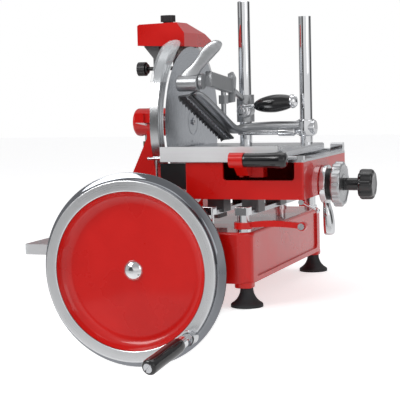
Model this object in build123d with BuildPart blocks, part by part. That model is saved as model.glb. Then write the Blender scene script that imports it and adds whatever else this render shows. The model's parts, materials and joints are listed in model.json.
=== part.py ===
from build123d import *
import math
import os

os.makedirs("parts", exist_ok=True)

# Sizes in millimetres. Origin: the middle of the four feet, on their underside.
# The operator stands at -Y, the meat table is on the +X side of the blade, +Z is up.

# clearances
bearing_gap = 0.05
travel_gap = 0.4
seat_gap = 0.3

# base and feet
base_width = 330
base_length = 500
base_bottom = 44
base_top = 138
base_wall = 9
base_deck = 8
base_corner_radius = 26
base_edge_radius = 5
pillar_width = 38
panel_recess = 4
panel_margin = 9
foot_x = 150
foot_y = 230
foot_flange_radius = 30
foot_neck_radius = 12
foot_flange_height = 7
foot_boss_radius = 15
foot_bolt_radius = 5
foot_bolt_depth = 30
foot_bore_radius = 8
foot_thread_radius = 4
foot_thread_depth = 25

# flywheel and crank
wheel_x = -55
wheel_z = 68
wheel_front_y = -300
wheel_lip_radius = 148
wheel_ring_radius = 170
wheel_flange_radius = 182
wheel_depth = 27
wheel_floor_radius = 130
wheel_floor_depth = 22
wheel_floor_thickness = 6
wheel_hub_radius = 30
wheel_cap_radius = 16
wheel_cap_height = 9
shaft_radius = 10
bush_wall = 4
shaft_boss_radius = 24
shaft_boss_reach = 10
web_thickness = 12
web_half_width = 30
shaft_web_y = -54
crank_radius = 166
crank_angle = -43.5
crank_offset = 17
crank_tilt = 19.5
crank_pin_radius = 5
grip_radius = 15
grip_length = 100
ferrule_radius = 11
ferrule_length = 14
socket_radius = 14
grip_screw_radius = 9

# drive inside the base and the stand
drive_y = -15
stand_shaft_x = -128
cross_pitch_radius = 11.5
wheel_pitch_radius = 23
stand_pitch_radius = 12
bevel_face = 0.42
bevel_back_off = 0.5
bevel_tooth_depth = 1.8
bevel_hub_length = 7
small_shaft_radius = 6
sprocket_front_y = -130
sprocket_rear_y = 100
sprocket_radius = 17
sprocket_height = 6
sprocket_lift = 3
sprocket_teeth = 14
chain_width = 5
chain_slack = 0.6
chain_roller_radius = 3.2
idler_pin_radius = 5

# blade, its guard and the stand
blade_x = -30
blade_z = 334
blade_radius = 150
blade_thickness = 3
blade_bevel_width = 9
blade_groove_radius = 26
blade_groove_width = 1.6
blade_bore_radius = 9
blade_bolt_radius = 6.5
blade_bolt_height = 4.5
guard_inner_radius = 142
guard_outer_radius = 172
guard_back_x = -52
guard_front_x = -36
guard_lip = 3
guard_gap_angle = 39
clear_guard_thickness = 2.5
clear_guard_left_x = -56
clear_guard_right_x = -20
clear_guard_top = 497
clear_guard_low_angle = 152
housing_radius = 28.5
housing_bore_radius = 17
housing_left_x = -143
housing_right_x = -62
dome_height = 8
stand_plate_left_x = -86
stand_plate_right_x = -64
stand_foot_left_x = -158
stand_thickness_y = 46

# sharpener
cover_left_x = -124
cover_right_x = -24
cover_front_y = -65
cover_rear_y = 92
cover_top = 532
cover_bottom = 487
cover_slope_start_y = -8
cover_slope_end = 499
cover_chamfer_x = 16
cover_chamfer_z = 21
cover_wall = 3
cover_knob_x = -73
cover_knob_y = -25
cover_knob_radius = 15
cover_knob_height = 13
side_knob_left_x = -135
side_knob_length = 24
side_knob_radius = 14
side_knob_y = -35
side_knob_z = 442
stone_travel = 6
plunger_radius = 4
stone_radius = 17

# rails and carriage
rail_right_x = 146
rail_left_x = 78
rail_width = 22
rail_thickness = 8
rail_top = 175
post_y = 230
post_radius = 11
post_cap_size = 26
post_cap_top = 184
box_left_x = 29
box_right_x = 257
box_front_y = -215
box_rear_y = 97
box_bottom = 196
box_top = 264
box_wall = 6
top_plate_thickness = 4
window_left_x = 103
window_right_x = 240
window_bottom = 231
window_corner = 6
feed_y = -79
feed_z = 214
feed_screw_radius = 7
feed_screw_pitch = 5
thread_depth = 1.2
drum_radius = 30
drum_length = 23
dial_radius = 43
dial_thickness = 18
dial_lobes = 14
knob_stem_radius = 12
knob_radius = 29
knob_face_x = 357
knob_length = 28
knob_lobes = 8
feed_arm_thickness = 12
feed_arm_length = 97
feed_arm_width = 26
shield_left_x = -22
trip_arm_end_x = 258

# meat table, columns and press
table_left_x = -19
table_right_x = 220
table_front_y = -217
table_rear_y = 73
table_surface = 286
table_plate = 4.5
table_skirt = 4
table_skirt_bottom = 272.5
table_edge_radius = 5
apron_top = 293.5
apron_bottom = 265.5
apron_right_x = 202
apron_thickness = 4
table_travel = 60
rod_radius = 3.2
rod_z = 271.5
front_rod_y = -209
rear_rod_y = 84
front_rod_left_x = -27
rod_block_size = 16
column_radius = 12.5
column_y = 57
column_left_x = 60
column_right_x = 188
column_left_top = 574
column_right_top = 539
column_spigot_radius = 8
hub_wall = 5.5
upper_hub_bottom = 330
upper_hub_top = 385
lower_hub_bottom = 300
lower_hub_top = 334
grip_axis_y = -245
grip_axis_z = 270
table_grip_radius = 15
table_grip_left_x = 155
table_grip_right_x = 236
collar_left_x = 128
release_pivot_y = -192
release_pivot_z = 246
lever_axis_y = -125
lever_axis_z = 414
lever_hub_radius = 12
lever_hub_left_x = -16
lever_hub_right_x = 27
clamp_axis_z = 353
clamp_axis_x = 66
clamp_plane_y = 22


def level(z, x=0, y=0):
    """Plane looking down: local x is X, local y is Y."""
    return Plane(origin=(x, y, z))


def facing_front(y, x=0, z=0):
    """Plane facing the operator: local x is X, local y is Z, its normal is -Y."""
    return Plane(origin=(x, y, z), x_dir=(1, 0, 0), z_dir=(0, -1, 0))


def facing_right(x, y=0, z=0):
    """Plane facing the right side: local x is Y, local y is Z, its normal is +X."""
    return Plane(origin=(x, y, z), x_dir=(0, 1, 0), z_dir=(1, 0, 0))


def toothed_outline(tip_radius, root_radius, teeth):
    """Points of a wheel with straight sided teeth, four for each tooth."""
    points = []
    for tooth in range(teeth):
        for radius, share in ((root_radius, 0.0), (root_radius, 0.45), (tip_radius, 0.58), (tip_radius, 0.87)):
            angle = 2 * math.pi * (tooth + share) / teeth
            points.append((radius * math.cos(angle), radius * math.sin(angle)))
    return points


def bevel_gear(apex, away, pitch_radius, mate_radius, bore_radius):
    """A bevel gear on the axis that runs from apex in the direction away, teeth towards apex."""
    near = mate_radius * (1 - bevel_face) + bevel_back_off
    far = mate_radius + bevel_back_off
    side = Vector(*away).cross(Vector(0, 1, 0) if abs(away[1]) < 0.5 else Vector(1, 0, 0)).normalized()
    profile_plane = Plane(origin=apex, x_dir=side, z_dir=side.cross(Vector(*away)))
    with BuildPart() as gear:
        with BuildSketch(profile_plane):
            Polygon(
                (0, near), (pitch_radius * (1 - bevel_face), near), (pitch_radius, far),
                (pitch_radius - bevel_tooth_depth, far + bevel_tooth_depth), (0, far + bevel_tooth_depth),
                align=None,
            )
        revolve(axis=Axis(apex, away))
        tooth_plane = Plane(origin=apex, x_dir=side, z_dir=away)
        with BuildSketch(tooth_plane):
            tip = pitch_radius + 1
            Polygon(*toothed_outline(tip, pitch_radius * (1 - bevel_face) - 1, round(pitch_radius * 1.4)), align=None)
        extrude(amount=far + bevel_tooth_depth - 0.8, mode=Mode.INTERSECT)
        with BuildSketch(tooth_plane.offset(near)):
            Circle(pitch_radius * (1 - bevel_face) - 0.5)
        extrude(amount=far - near + bevel_tooth_depth + bevel_hub_length)
        with BuildSketch(tooth_plane):
            Circle(bore_radius)
        extrude(amount=far + 4 * bevel_hub_length, mode=Mode.SUBTRACT)
    return gear.part


def save(piece, label):
    piece.label = label
    export_step(piece, f"parts/{label}.step")


# ---------------------------------------------------------------- base and feet
deck_underside = base_top - base_deck
inner_width = base_width - 2 * base_wall
inner_length = base_length - 2 * base_wall
foot_places = [(sx * foot_x, sy * foot_y) for sx in (-1, 1) for sy in (-1, 1)]
bush_radius = shaft_radius + bush_wall
small_bush_radius = small_shaft_radius + bush_wall

with BuildPart() as base_casting:
    with BuildSketch(level(base_bottom)):
        RectangleRounded(base_width, base_length, base_corner_radius)
    extrude(amount=base_top - base_bottom)
    fillet(base_casting.faces().sort_by(Axis.Z)[-1].edges(), base_edge_radius)
    with BuildSketch(level(base_bottom)):
        RectangleRounded(inner_width, inner_length, base_corner_radius - base_wall)
    extrude(amount=deck_underside - base_bottom, mode=Mode.SUBTRACT)
    panel_height = base_top - base_bottom - 2 * panel_margin
    panel_z = (base_top + base_bottom) / 2
    for side in (-1, 1):
        with BuildSketch(facing_right(side * base_width / 2, 0, panel_z)):
            RectangleRounded(base_length - 2 * pillar_width, panel_height, panel_margin)
        extrude(amount=-side * panel_recess, mode=Mode.SUBTRACT)
    with BuildSketch(level(base_bottom)):
        with Locations(*foot_places):
            Circle(foot_boss_radius)
    extrude(amount=deck_underside - base_bottom)
    with BuildSketch(facing_front(-base_length / 2 + base_wall, wheel_x, wheel_z)):
        Circle(shaft_boss_radius)
    extrude(amount=base_wall + shaft_boss_reach)
    with BuildSketch(facing_front(shaft_web_y, wheel_x, 0)):
        with Locations((0, (base_bottom + deck_underside) / 2)):
            Rectangle(2 * web_half_width, deck_underside - base_bottom)
    extrude(amount=web_thickness)
    hub_beyond_mate = bevel_back_off + bevel_tooth_depth + bevel_hub_length
    free_right_x = wheel_x - wheel_pitch_radius - hub_beyond_mate
    free_left_x = stand_shaft_x + stand_pitch_radius + hub_beyond_mate
    cross_web_x = (free_left_x + free_right_x - web_thickness) / 2
    with BuildSketch(facing_right(cross_web_x, drive_y, (base_bottom + deck_underside) / 2)):
        Rectangle(web_half_width, deck_underside - base_bottom)
    extrude(amount=web_thickness)
    with BuildSketch(facing_front(0, wheel_x, wheel_z)):
        Circle(bush_radius)
    extrude(amount=base_length, mode=Mode.SUBTRACT)
    with BuildSketch(facing_right(stand_shaft_x, drive_y, wheel_z)):
        Circle(small_bush_radius)
    extrude(amount=wheel_x - stand_shaft_x, mode=Mode.SUBTRACT)
    with BuildSketch(level(deck_underside)):
        with Locations((stand_shaft_x, drive_y), (wheel_x, sprocket_front_y)):
            Circle(small_bush_radius)
    extrude(amount=base_deck, mode=Mode.SUBTRACT)
    with BuildSketch(level(base_bottom)):
        with Locations(*foot_places):
            Circle(foot_bolt_radius)
    extrude(amount=foot_bolt_depth, mode=Mode.SUBTRACT)
save(base_casting.part, "base_casting")

with BuildPart() as rubber_feet:
    for place in foot_places:
        foot_plane = Plane(origin=(*place, 0), x_dir=(1, 0, 0), z_dir=(0, -1, 0))
        with BuildSketch(foot_plane):
            with BuildLine():
                Polyline((foot_bore_radius, 0), (foot_flange_radius, 0), (foot_flange_radius, foot_flange_height - 2),
                         (foot_flange_radius - 2, foot_flange_height))
                ThreePointArc((foot_flange_radius - 2, foot_flange_height), (foot_neck_radius + 6, base_bottom * 0.36),
                              (foot_neck_radius, base_bottom * 0.8))
                Polyline((foot_neck_radius, base_bottom * 0.8), (foot_neck_radius, base_bottom),
                         (foot_bore_radius, base_bottom), (foot_bore_radius, 0))
            make_face()
        revolve(axis=Axis((*place, 0), (0, 0, 1)))
save(rubber_feet.part, "rubber_feet")

with BuildPart() as foot_studs:
    with BuildSketch(level(0)):
        with Locations(*foot_places):
            Circle(foot_bore_radius)
    extrude(amount=base_bottom)
    with BuildSketch(level(base_bottom)):
        with Locations(*foot_places):
            Circle(foot_bolt_radius)
    extrude(amount=foot_bolt_depth)
    with BuildSketch(level(0)):
        with Locations(*foot_places):
            Circle(foot_thread_radius)
    extrude(amount=foot_thread_depth, mode=Mode.SUBTRACT)
save(foot_studs.part, "foot_studs")

# ---------------------------------------------------------------- flywheel
wheel_rear_y = wheel_front_y + wheel_depth
floor_front_y = wheel_front_y + wheel_floor_depth
floor_rear_y = floor_front_y + wheel_floor_thickness
wheel_axis = Axis((wheel_x, 0, wheel_z), (0, 1, 0))
wheel_plane = Plane(origin=(wheel_x, 0, wheel_z))
hub_rear_y = -base_length / 2 - shaft_boss_reach - travel_gap
lip_y = wheel_front_y + 2

with BuildPart() as flywheel_disc:
    with BuildSketch(wheel_plane):
        Polygon(
            (shaft_radius, floor_front_y), (wheel_floor_radius, floor_front_y), (wheel_lip_radius, lip_y),
            (wheel_lip_radius, floor_rear_y), (wheel_hub_radius, floor_rear_y), (wheel_hub_radius, hub_rear_y),
            (shaft_radius, hub_rear_y),
            align=None,
        )
    revolve(axis=wheel_axis)
    floor_edges = flywheel_disc.edges().filter_by(GeomType.CIRCLE)
    floor_edges = floor_edges.filter_by(lambda edge: abs(edge.radius - wheel_floor_radius) < 0.1)
    fillet(floor_edges, 8)
save(flywheel_disc.part, "flywheel_disc")

with BuildPart() as flywheel_rim:
    with BuildSketch(wheel_plane):
        with BuildLine():
            Polyline((wheel_lip_radius, lip_y), (wheel_lip_radius + 2, wheel_front_y),
                     (wheel_ring_radius - 2, wheel_front_y), (wheel_ring_radius, wheel_front_y + 4))
            ThreePointArc((wheel_ring_radius, wheel_front_y + 4), (wheel_ring_radius - 2.5, wheel_front_y + 13),
                          (wheel_flange_radius - 3, wheel_rear_y - 5))
            Polyline((wheel_flange_radius - 3, wheel_rear_y - 5), (wheel_flange_radius, wheel_rear_y - 4),
                     (wheel_flange_radius, wheel_rear_y), (wheel_lip_radius + 6, wheel_rear_y),
                     (wheel_lip_radius, wheel_rear_y - 6), (wheel_lip_radius, lip_y))
        make_face()
    revolve(axis=wheel_axis)
save(flywheel_rim.part, "flywheel_rim")

with BuildPart() as wheel_cap:
    with BuildSketch(facing_front(floor_front_y, wheel_x, wheel_z)):
        Circle(wheel_cap_radius)
    extrude(amount=wheel_cap_height)
    fillet(wheel_cap.faces().sort_by(Axis.Y)[0].edges(), wheel_cap_height - 2)
save(wheel_cap.part, "wheel_cap")

cross_apex = (wheel_x, drive_y, wheel_z)
sprocket_apex = (wheel_x, sprocket_front_y, wheel_z)
shaft_bevel = bevel_gear(cross_apex, (0, -1, 0), wheel_pitch_radius, cross_pitch_radius, shaft_radius)
sprocket_drive_bevel = bevel_gear(sprocket_apex, (0, 1, 0), wheel_pitch_radius, wheel_pitch_radius, shaft_radius)
with BuildPart() as flywheel_shaft:
    with BuildSketch(facing_front(drive_y - cross_pitch_radius, wheel_x, wheel_z)):
        Circle(shaft_radius)
    extrude(amount=drive_y - cross_pitch_radius - floor_front_y)
    add(shaft_bevel)
    add(sprocket_drive_bevel)
save(flywheel_shaft.part, "flywheel_shaft")

with BuildPart() as shaft_bushes:
    with BuildSketch(facing_front(-base_length / 2 + base_wall, wheel_x, wheel_z)):
        Circle(bush_radius)
        Circle(shaft_radius + bearing_gap, mode=Mode.SUBTRACT)
    extrude(amount=base_wall + shaft_boss_reach)
    with BuildSketch(facing_front(shaft_web_y, wheel_x, wheel_z)):
        Circle(bush_radius)
        Circle(shaft_radius + bearing_gap, mode=Mode.SUBTRACT)
    extrude(amount=web_thickness)

# ---------------------------------------------------------------- crank handle
crank_turn = math.radians(crank_angle)
radial = Vector(math.cos(crank_turn), 0, math.sin(crank_turn))
tangent = Vector(-math.sin(crank_turn), 0, math.cos(crank_turn))
tilt = math.radians(crank_tilt)
crank_away = Vector(0, -1, 0) * math.cos(tilt) - tangent * math.sin(tilt)
crank_pivot = Vector(wheel_x, wheel_front_y - crank_offset, wheel_z) + radial * crank_radius
crank_plane = Plane(origin=crank_pivot, x_dir=radial, z_dir=crank_away)
socket_plane = Plane(origin=crank_pivot, x_dir=radial, z_dir=(0, -1, 0))
fork_gap = 9
socket_depth = crank_offset

with BuildPart() as crank_socket:
    with BuildSketch(socket_plane.offset(-socket_depth)):
        Circle(socket_radius)
    extrude(amount=socket_depth + 7)
    with BuildSketch(socket_plane.offset(-8)):
        Rectangle(fork_gap + 2 * travel_gap, 4 * socket_radius)
    extrude(amount=3 * socket_radius, mode=Mode.SUBTRACT)
    fork_axis_plane = Plane(origin=crank_pivot - radial * 2 * socket_radius, x_dir=(0, -1, 0), z_dir=radial)
    with BuildSketch(fork_axis_plane):
        Circle(crank_pin_radius)
    extrude(amount=4 * socket_radius, mode=Mode.SUBTRACT)
save(crank_socket.part, "crank_socket")

knuckle_radius = 7.2
with BuildPart() as crank_pin:
    with BuildSketch(Plane(origin=crank_pivot - radial * fork_gap / 2, x_dir=(0, -1, 0), z_dir=radial)):
        Circle(knuckle_radius)
    extrude(amount=fork_gap)
    with BuildSketch(crank_plane):
        Rectangle(fork_gap, 9)
    extrude(amount=18)
    with BuildSketch(crank_plane.offset(16)):
        Circle(ferrule_radius)
    extrude(amount=ferrule_length - 2)
    with BuildSketch(crank_plane.offset(14 + ferrule_length)):
        Circle(crank_pin_radius)
    extrude(amount=grip_length - 6 + 2 * travel_gap)
    with BuildSketch(Plane(origin=crank_pivot - radial * socket_radius * 0.9, x_dir=(0, -1, 0), z_dir=radial)):
        Circle(crank_pin_radius - bearing_gap)
    extrude(amount=socket_radius * 1.8)
save(crank_pin.part, "crank_pin")

grip_start = 14 + ferrule_length + travel_gap
with BuildPart() as crank_grip:
    grip_profile = Plane(origin=crank_pivot, x_dir=radial, z_dir=radial.cross(crank_away))
    with BuildSketch(grip_profile):
        Polygon(
            (crank_pin_radius + bearing_gap, grip_start), (ferrule_radius + 1, grip_start),
            (grip_radius, grip_start + 8), (grip_radius, grip_start + grip_length - 3),
            (grip_radius - 3, grip_start + grip_length), (grip_screw_radius + travel_gap, grip_start + grip_length),
            (grip_screw_radius + travel_gap, grip_start + grip_length - 6),
            (crank_pin_radius + bearing_gap, grip_start + grip_length - 6),
            align=None,
        )
    revolve(axis=Axis(tuple(crank_pivot), tuple(crank_away)))
save(crank_grip.part, "crank_grip")

slot_width = 2
with BuildPart() as grip_screw:
    with BuildSketch(crank_plane.offset(grip_start + grip_length - 6 + travel_gap)):
        Circle(grip_screw_radius)
    extrude(amount=6)
    with BuildSketch(crank_plane.offset(grip_start + grip_length - 2)):
        Rectangle(slot_width, 3 * grip_screw_radius)
    extrude(amount=6, mode=Mode.SUBTRACT)
save(grip_screw.part, "grip_screw")

# ---------------------------------------------------------------- drive shafts
blade_centre = (blade_x, drive_y, blade_z)
stand_low_apex = (stand_shaft_x, drive_y, wheel_z)
stand_high_apex = (stand_shaft_x, drive_y, blade_z)
wheel_pinion = bevel_gear(cross_apex, (-1, 0, 0), cross_pitch_radius, wheel_pitch_radius, small_shaft_radius)
stand_pinion = bevel_gear(stand_low_apex, (1, 0, 0), stand_pitch_radius, stand_pitch_radius, small_shaft_radius)

cross_left_x = stand_shaft_x + stand_pitch_radius
cross_right_x = wheel_x - wheel_pitch_radius
with BuildPart() as cross_shaft:
    with BuildSketch(facing_right(cross_left_x, drive_y, wheel_z)):
        Circle(small_shaft_radius)
    extrude(amount=cross_right_x - cross_left_x)
    add(wheel_pinion)
    add(stand_pinion)
save(cross_shaft.part, "cross_shaft")

low_gear = bevel_gear(stand_low_apex, (0, 0, 1), stand_pitch_radius, stand_pitch_radius, small_shaft_radius)
high_gear = bevel_gear(stand_high_apex, (0, 0, -1), stand_pitch_radius, stand_pitch_radius, small_shaft_radius)

stand_shaft_low = wheel_z + stand_pitch_radius
stand_shaft_high = blade_z - stand_pitch_radius
with BuildPart() as stand_shaft:
    with BuildSketch(level(stand_shaft_low, stand_shaft_x, drive_y)):
        Circle(small_shaft_radius)
    extrude(amount=stand_shaft_high - stand_shaft_low)
    add(low_gear)
    add(high_gear)
save(stand_shaft.part, "stand_shaft")

blade_bevel_x = stand_shaft_x + stand_pitch_radius
blade_gear = bevel_gear(stand_high_apex, (1, 0, 0), stand_pitch_radius, stand_pitch_radius, small_shaft_radius)
with BuildPart() as blade_shaft:
    with BuildSketch(facing_right(blade_bevel_x, drive_y, blade_z)):
        Circle(small_shaft_radius)
    extrude(amount=blade_x - blade_thickness / 2 - blade_bevel_x)
    with BuildSketch(facing_right(housing_right_x + 3, drive_y, blade_z)):
        Circle(blade_groove_radius - 4)
    extrude(amount=blade_x - blade_thickness / 2 - housing_right_x - 3)
    add(blade_gear)
save(blade_shaft.part, "blade_shaft")

# ---------------------------------------------------------------- blade
blade_plane = Plane(origin=(0, drive_y, blade_z))
blade_axis = Axis((0, drive_y, blade_z), (1, 0, 0))
blade_left = blade_x - blade_thickness / 2
blade_right = blade_x + blade_thickness / 2
with BuildPart() as blade:
    with BuildSketch(blade_plane):
        Polygon(
            (blade_left, small_shaft_radius), (blade_left, blade_radius - blade_bevel_width),
            (blade_right - 0.4, blade_radius), (blade_right, blade_radius), (blade_right, small_shaft_radius),
            align=None,
        )
    revolve(axis=blade_axis)
    with BuildSketch(facing_right(blade_right - 1, drive_y, blade_z)):
        Circle(blade_groove_radius + blade_groove_width / 2)
        Circle(blade_groove_radius - blade_groove_width / 2, mode=Mode.SUBTRACT)
        Circle(blade_bore_radius)
    extrude(amount=2, mode=Mode.SUBTRACT)
    with BuildSketch(facing_right(blade_left, drive_y, blade_z)):
        with Locations((-8, -blade_groove_radius - 14)):
            SlotOverall(7, 2.4, rotation=90)
    extrude(amount=2 * blade_thickness, mode=Mode.SUBTRACT)
save(blade.part, "blade")

with BuildPart() as blade_bolt:
    with BuildSketch(facing_right(blade_left, drive_y, blade_z)):
        Circle(small_shaft_radius)
    extrude(amount=blade_thickness)
    with BuildSketch(facing_right(blade_right - 1, drive_y, blade_z)):
        Circle(blade_bolt_radius)
    extrude(amount=blade_bolt_height)
    with BuildSketch(facing_right(blade_right + blade_bolt_height - 2.5, drive_y, blade_z)):
        RegularPolygon(3, 6)
    extrude(amount=4, mode=Mode.SUBTRACT)
save(blade_bolt.part, "blade_bolt")

# ---------------------------------------------------------------- stand with the gear housing
cover_ceiling = cover_top - cover_wall
with BuildPart() as blade_stand:
    with BuildSketch(facing_front(drive_y - stand_thickness_y / 2)):
        Polygon(
            (stand_foot_left_x, base_top), (stand_foot_left_x, base_top + 60), (stand_foot_left_x + 4, 232),
            (-121, 302), (-121, blade_z), (-104, blade_z), (-104, 250), (-92, base_top + 30), (-92, base_top),
            align=None,
        )
    extrude(amount=-stand_thickness_y)
    with BuildSketch(facing_right(housing_left_x, drive_y, blade_z)):
        Circle(housing_radius)
    extrude(amount=housing_right_x - housing_left_x)
    with BuildSketch(facing_right(stand_plate_left_x)):
        with BuildLine():
            Polyline((130, base_top), (178, base_top), (178, 296))
            ThreePointArc((178, 296), (158, 402), (72, 470))
            Polyline((72, 470), (62, 488), (30, 511), (-10, cover_ceiling), (-40, cover_ceiling), (-40, cover_bottom),
                     (8, 476), (44, 452))
            ThreePointArc((44, 452), (124, 388), (140, 300))
            Polyline((140, 300), (128, 262), (128, base_top + 20), (130, base_top))
        make_face()
    extrude(amount=stand_plate_right_x - stand_plate_left_x)
    with BuildSketch(facing_right(stand_plate_left_x)):
        Polygon((-30, 318), (-30, 350), (145, 330), (145, 296), align=None)
        Polygon((-10, 346), (-60, 352), (-180, 356), (-180, 338), (-60, 322), (-10, 322), align=None)
    extrude(amount=stand_plate_right_x - stand_plate_left_x - 4)
    with BuildSketch(facing_right(stand_plate_right_x - 6)):
        with Locations((-166, 347), (151, 306)):
            Rectangle(20, 18)
    extrude(amount=guard_back_x - stand_plate_right_x + 6)
    with BuildSketch(level(base_top, (stand_foot_left_x - 88) / 2, 60)):
        RectangleRounded(-88 - stand_foot_left_x, 256, 10)
    extrude(amount=10)
    with BuildSketch(level(base_top, (stand_foot_left_x - 62) / 2, 157)):
        RectangleRounded(-62 - stand_foot_left_x, 62, 10)
    extrude(amount=10)
    with BuildSketch(facing_right(housing_left_x, drive_y, blade_z)):
        Circle(housing_bore_radius)
    extrude(amount=housing_right_x - housing_left_x - web_thickness, mode=Mode.SUBTRACT)
    with BuildSketch(facing_right(housing_right_x - web_thickness, drive_y, blade_z)):
        Circle(small_bush_radius)
    extrude(amount=web_thickness, mode=Mode.SUBTRACT)
    with BuildSketch(level(base_top, stand_shaft_x, drive_y)):
        Circle(small_bush_radius)
    extrude(amount=blade_z - base_top - housing_bore_radius - 18, mode=Mode.SUBTRACT)
    with BuildSketch(level(blade_z - housing_bore_radius - 20, stand_shaft_x, drive_y)):
        Circle(housing_bore_radius - 3)
    extrude(amount=housing_bore_radius + 12, mode=Mode.SUBTRACT)
    with BuildSketch(level(cover_ceiling - 20, cover_knob_x, cover_knob_y)):
        Circle(small_shaft_radius + bearing_gap)
    extrude(amount=30, mode=Mode.SUBTRACT)
save(blade_stand.part, "blade_stand")

with BuildPart() as housing_dome:
    with BuildSketch(facing_right(housing_left_x - dome_height, drive_y, blade_z)):
        Circle(housing_radius)
    extrude(amount=dome_height)
    fillet(housing_dome.faces().sort_by(Axis.X)[0].edges(), dome_height - 1)
save(housing_dome.part, "housing_dome")

bush_length = 10
with BuildPart() as bushes:
    add(shaft_bushes.part)
    with BuildSketch(facing_right(housing_right_x - web_thickness, drive_y, blade_z)):
        Circle(small_bush_radius)
        Circle(small_shaft_radius + bearing_gap, mode=Mode.SUBTRACT)
    extrude(amount=web_thickness)
    for bottom in (deck_underside, blade_z - housing_bore_radius - 32):
        with BuildSketch(level(bottom, stand_shaft_x, drive_y)):
            Circle(small_bush_radius)
            Circle(small_shaft_radius + bearing_gap, mode=Mode.SUBTRACT)
        extrude(amount=bush_length)
    with BuildSketch(level(deck_underside, wheel_x, sprocket_front_y)):
        Circle(small_bush_radius)
        Circle(small_shaft_radius + bearing_gap, mode=Mode.SUBTRACT)
    extrude(amount=base_deck)
    with BuildSketch(facing_right(cross_web_x, drive_y, wheel_z)):
        Circle(small_bush_radius)
        Circle(small_shaft_radius + bearing_gap, mode=Mode.SUBTRACT)
    extrude(amount=web_thickness)
save(bushes.part, "bushes")

# ---------------------------------------------------------------- blade guard
gap_turn = math.radians(guard_gap_angle / 2)
guard_plane = Plane(origin=(0, drive_y, blade_z), x_dir=(1, 0, 0), z_dir=(0, -math.cos(gap_turn), -math.sin(gap_turn)))
guard_face_x = guard_front_x - guard_lip
with BuildPart() as blade_guard:
    with BuildSketch(guard_plane):
        Polygon(
            (guard_back_x, guard_inner_radius), (guard_back_x, guard_outer_radius),
            (guard_front_x, guard_outer_radius), (guard_front_x, guard_outer_radius - guard_lip),
            (guard_face_x, guard_outer_radius - 2 * guard_lip), (guard_face_x, guard_inner_radius),
            align=None,
        )
    revolve(axis=blade_axis, revolution_arc=360 - guard_gap_angle)
save(blade_guard.part, "blade_guard")

clear_inner = guard_outer_radius + 0.1
clear_outer = clear_inner + clear_guard_thickness
clear_width = clear_guard_right_x - clear_guard_left_x
clear_middle_x = (clear_guard_left_x + clear_guard_right_x) / 2
low_turn = math.radians(clear_guard_low_angle)
with BuildPart() as clear_guard:
    with BuildSketch(facing_right(clear_guard_left_x, drive_y, blade_z)):
        Circle(clear_outer)
        Circle(clear_inner, mode=Mode.SUBTRACT)
        Polygon((0, 0), (400 * math.cos(low_turn), 400 * math.sin(low_turn)), (-400, 500), (0, 500), align=None,
                mode=Mode.INTERSECT)
    extrude(amount=clear_width)
    with BuildSketch(facing_front(drive_y)):
        with Locations((clear_middle_x, clear_guard_top - clear_width / 2)):
            Circle(clear_width / 2)
        with Locations((clear_middle_x, clear_guard_top - clear_width / 2 - 75)):
            Rectangle(clear_width, 150)
    extrude(amount=300, mode=Mode.INTERSECT)
save(clear_guard.part, "clear_guard")

stay_y = -176.5
stay_x = -44
stay_z = 269
with BuildPart() as guard_stay:
    with BuildSketch(level(base_top, stay_x, stay_y)):
        Circle(2)
    extrude(amount=stay_z - base_top)
    with BuildSketch(level(base_top, stay_x, stay_y)):
        Circle(6)
    extrude(amount=5)
    with BuildSketch(facing_right(-62, stay_y, stay_z)):
        Circle(3)
    extrude(amount=38)
    add(blade_guard.part, mode=Mode.SUBTRACT)
save(guard_stay.part, "guard_stay")

# ---------------------------------------------------------------- sharpener under its cover
cover_length = cover_rear_y - cover_front_y
cover_outline = [
    (cover_left_x, cover_bottom + 1), (cover_left_x, cover_top - 5), (cover_left_x + 4, cover_top - 2),
    (cover_right_x - cover_chamfer_x, cover_top), (cover_right_x, cover_top - cover_chamfer_z),
    (cover_right_x, cover_bottom - 3),
]


def sloped_block(outline, rear_y, front_y, drop):
    """The cover's section run from front to rear, with its rear top cut off on a slope."""
    with BuildPart() as block:
        with BuildSketch(facing_front(rear_y)):
            Polygon(*outline, align=None)
        extrude(amount=rear_y - front_y)
        with BuildSketch(facing_right(cover_left_x - 5)):
            Polygon(
                (cover_slope_start_y, cover_top - drop), (cover_rear_y + 20, cover_slope_end - drop - 6.5),
                (cover_rear_y + 20, cover_top + 20), (cover_slope_start_y, cover_top + 20), align=None,
            )
        extrude(amount=cover_right_x - cover_left_x + 10, mode=Mode.SUBTRACT)
    return block.part


inner_outline = [
    (cover_left_x + cover_wall, cover_bottom - 10), (cover_left_x + cover_wall, cover_top - 6.5),
    (cover_left_x + 5.5, cover_ceiling - 1.5), (cover_left_x + 8, cover_ceiling),
    (cover_right_x - cover_chamfer_x - 1.5, cover_ceiling),
    (cover_right_x - cover_wall, cover_top - cover_chamfer_z - 1), (cover_right_x - cover_wall, cover_bottom - 10),
]
with BuildPart() as sharpener_cover:
    add(sloped_block(cover_outline, cover_rear_y, cover_front_y, 0))
    add(sloped_block(inner_outline, cover_rear_y - cover_wall, cover_front_y + cover_wall, cover_wall + 0.2),
        mode=Mode.SUBTRACT)
    with BuildSketch(level(cover_ceiling - 2)):
        with Locations((cover_knob_x, cover_knob_y)):
            Circle(small_shaft_radius + bearing_gap)
    extrude(amount=10, mode=Mode.SUBTRACT)
save(sharpener_cover.part, "sharpener_cover")

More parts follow.
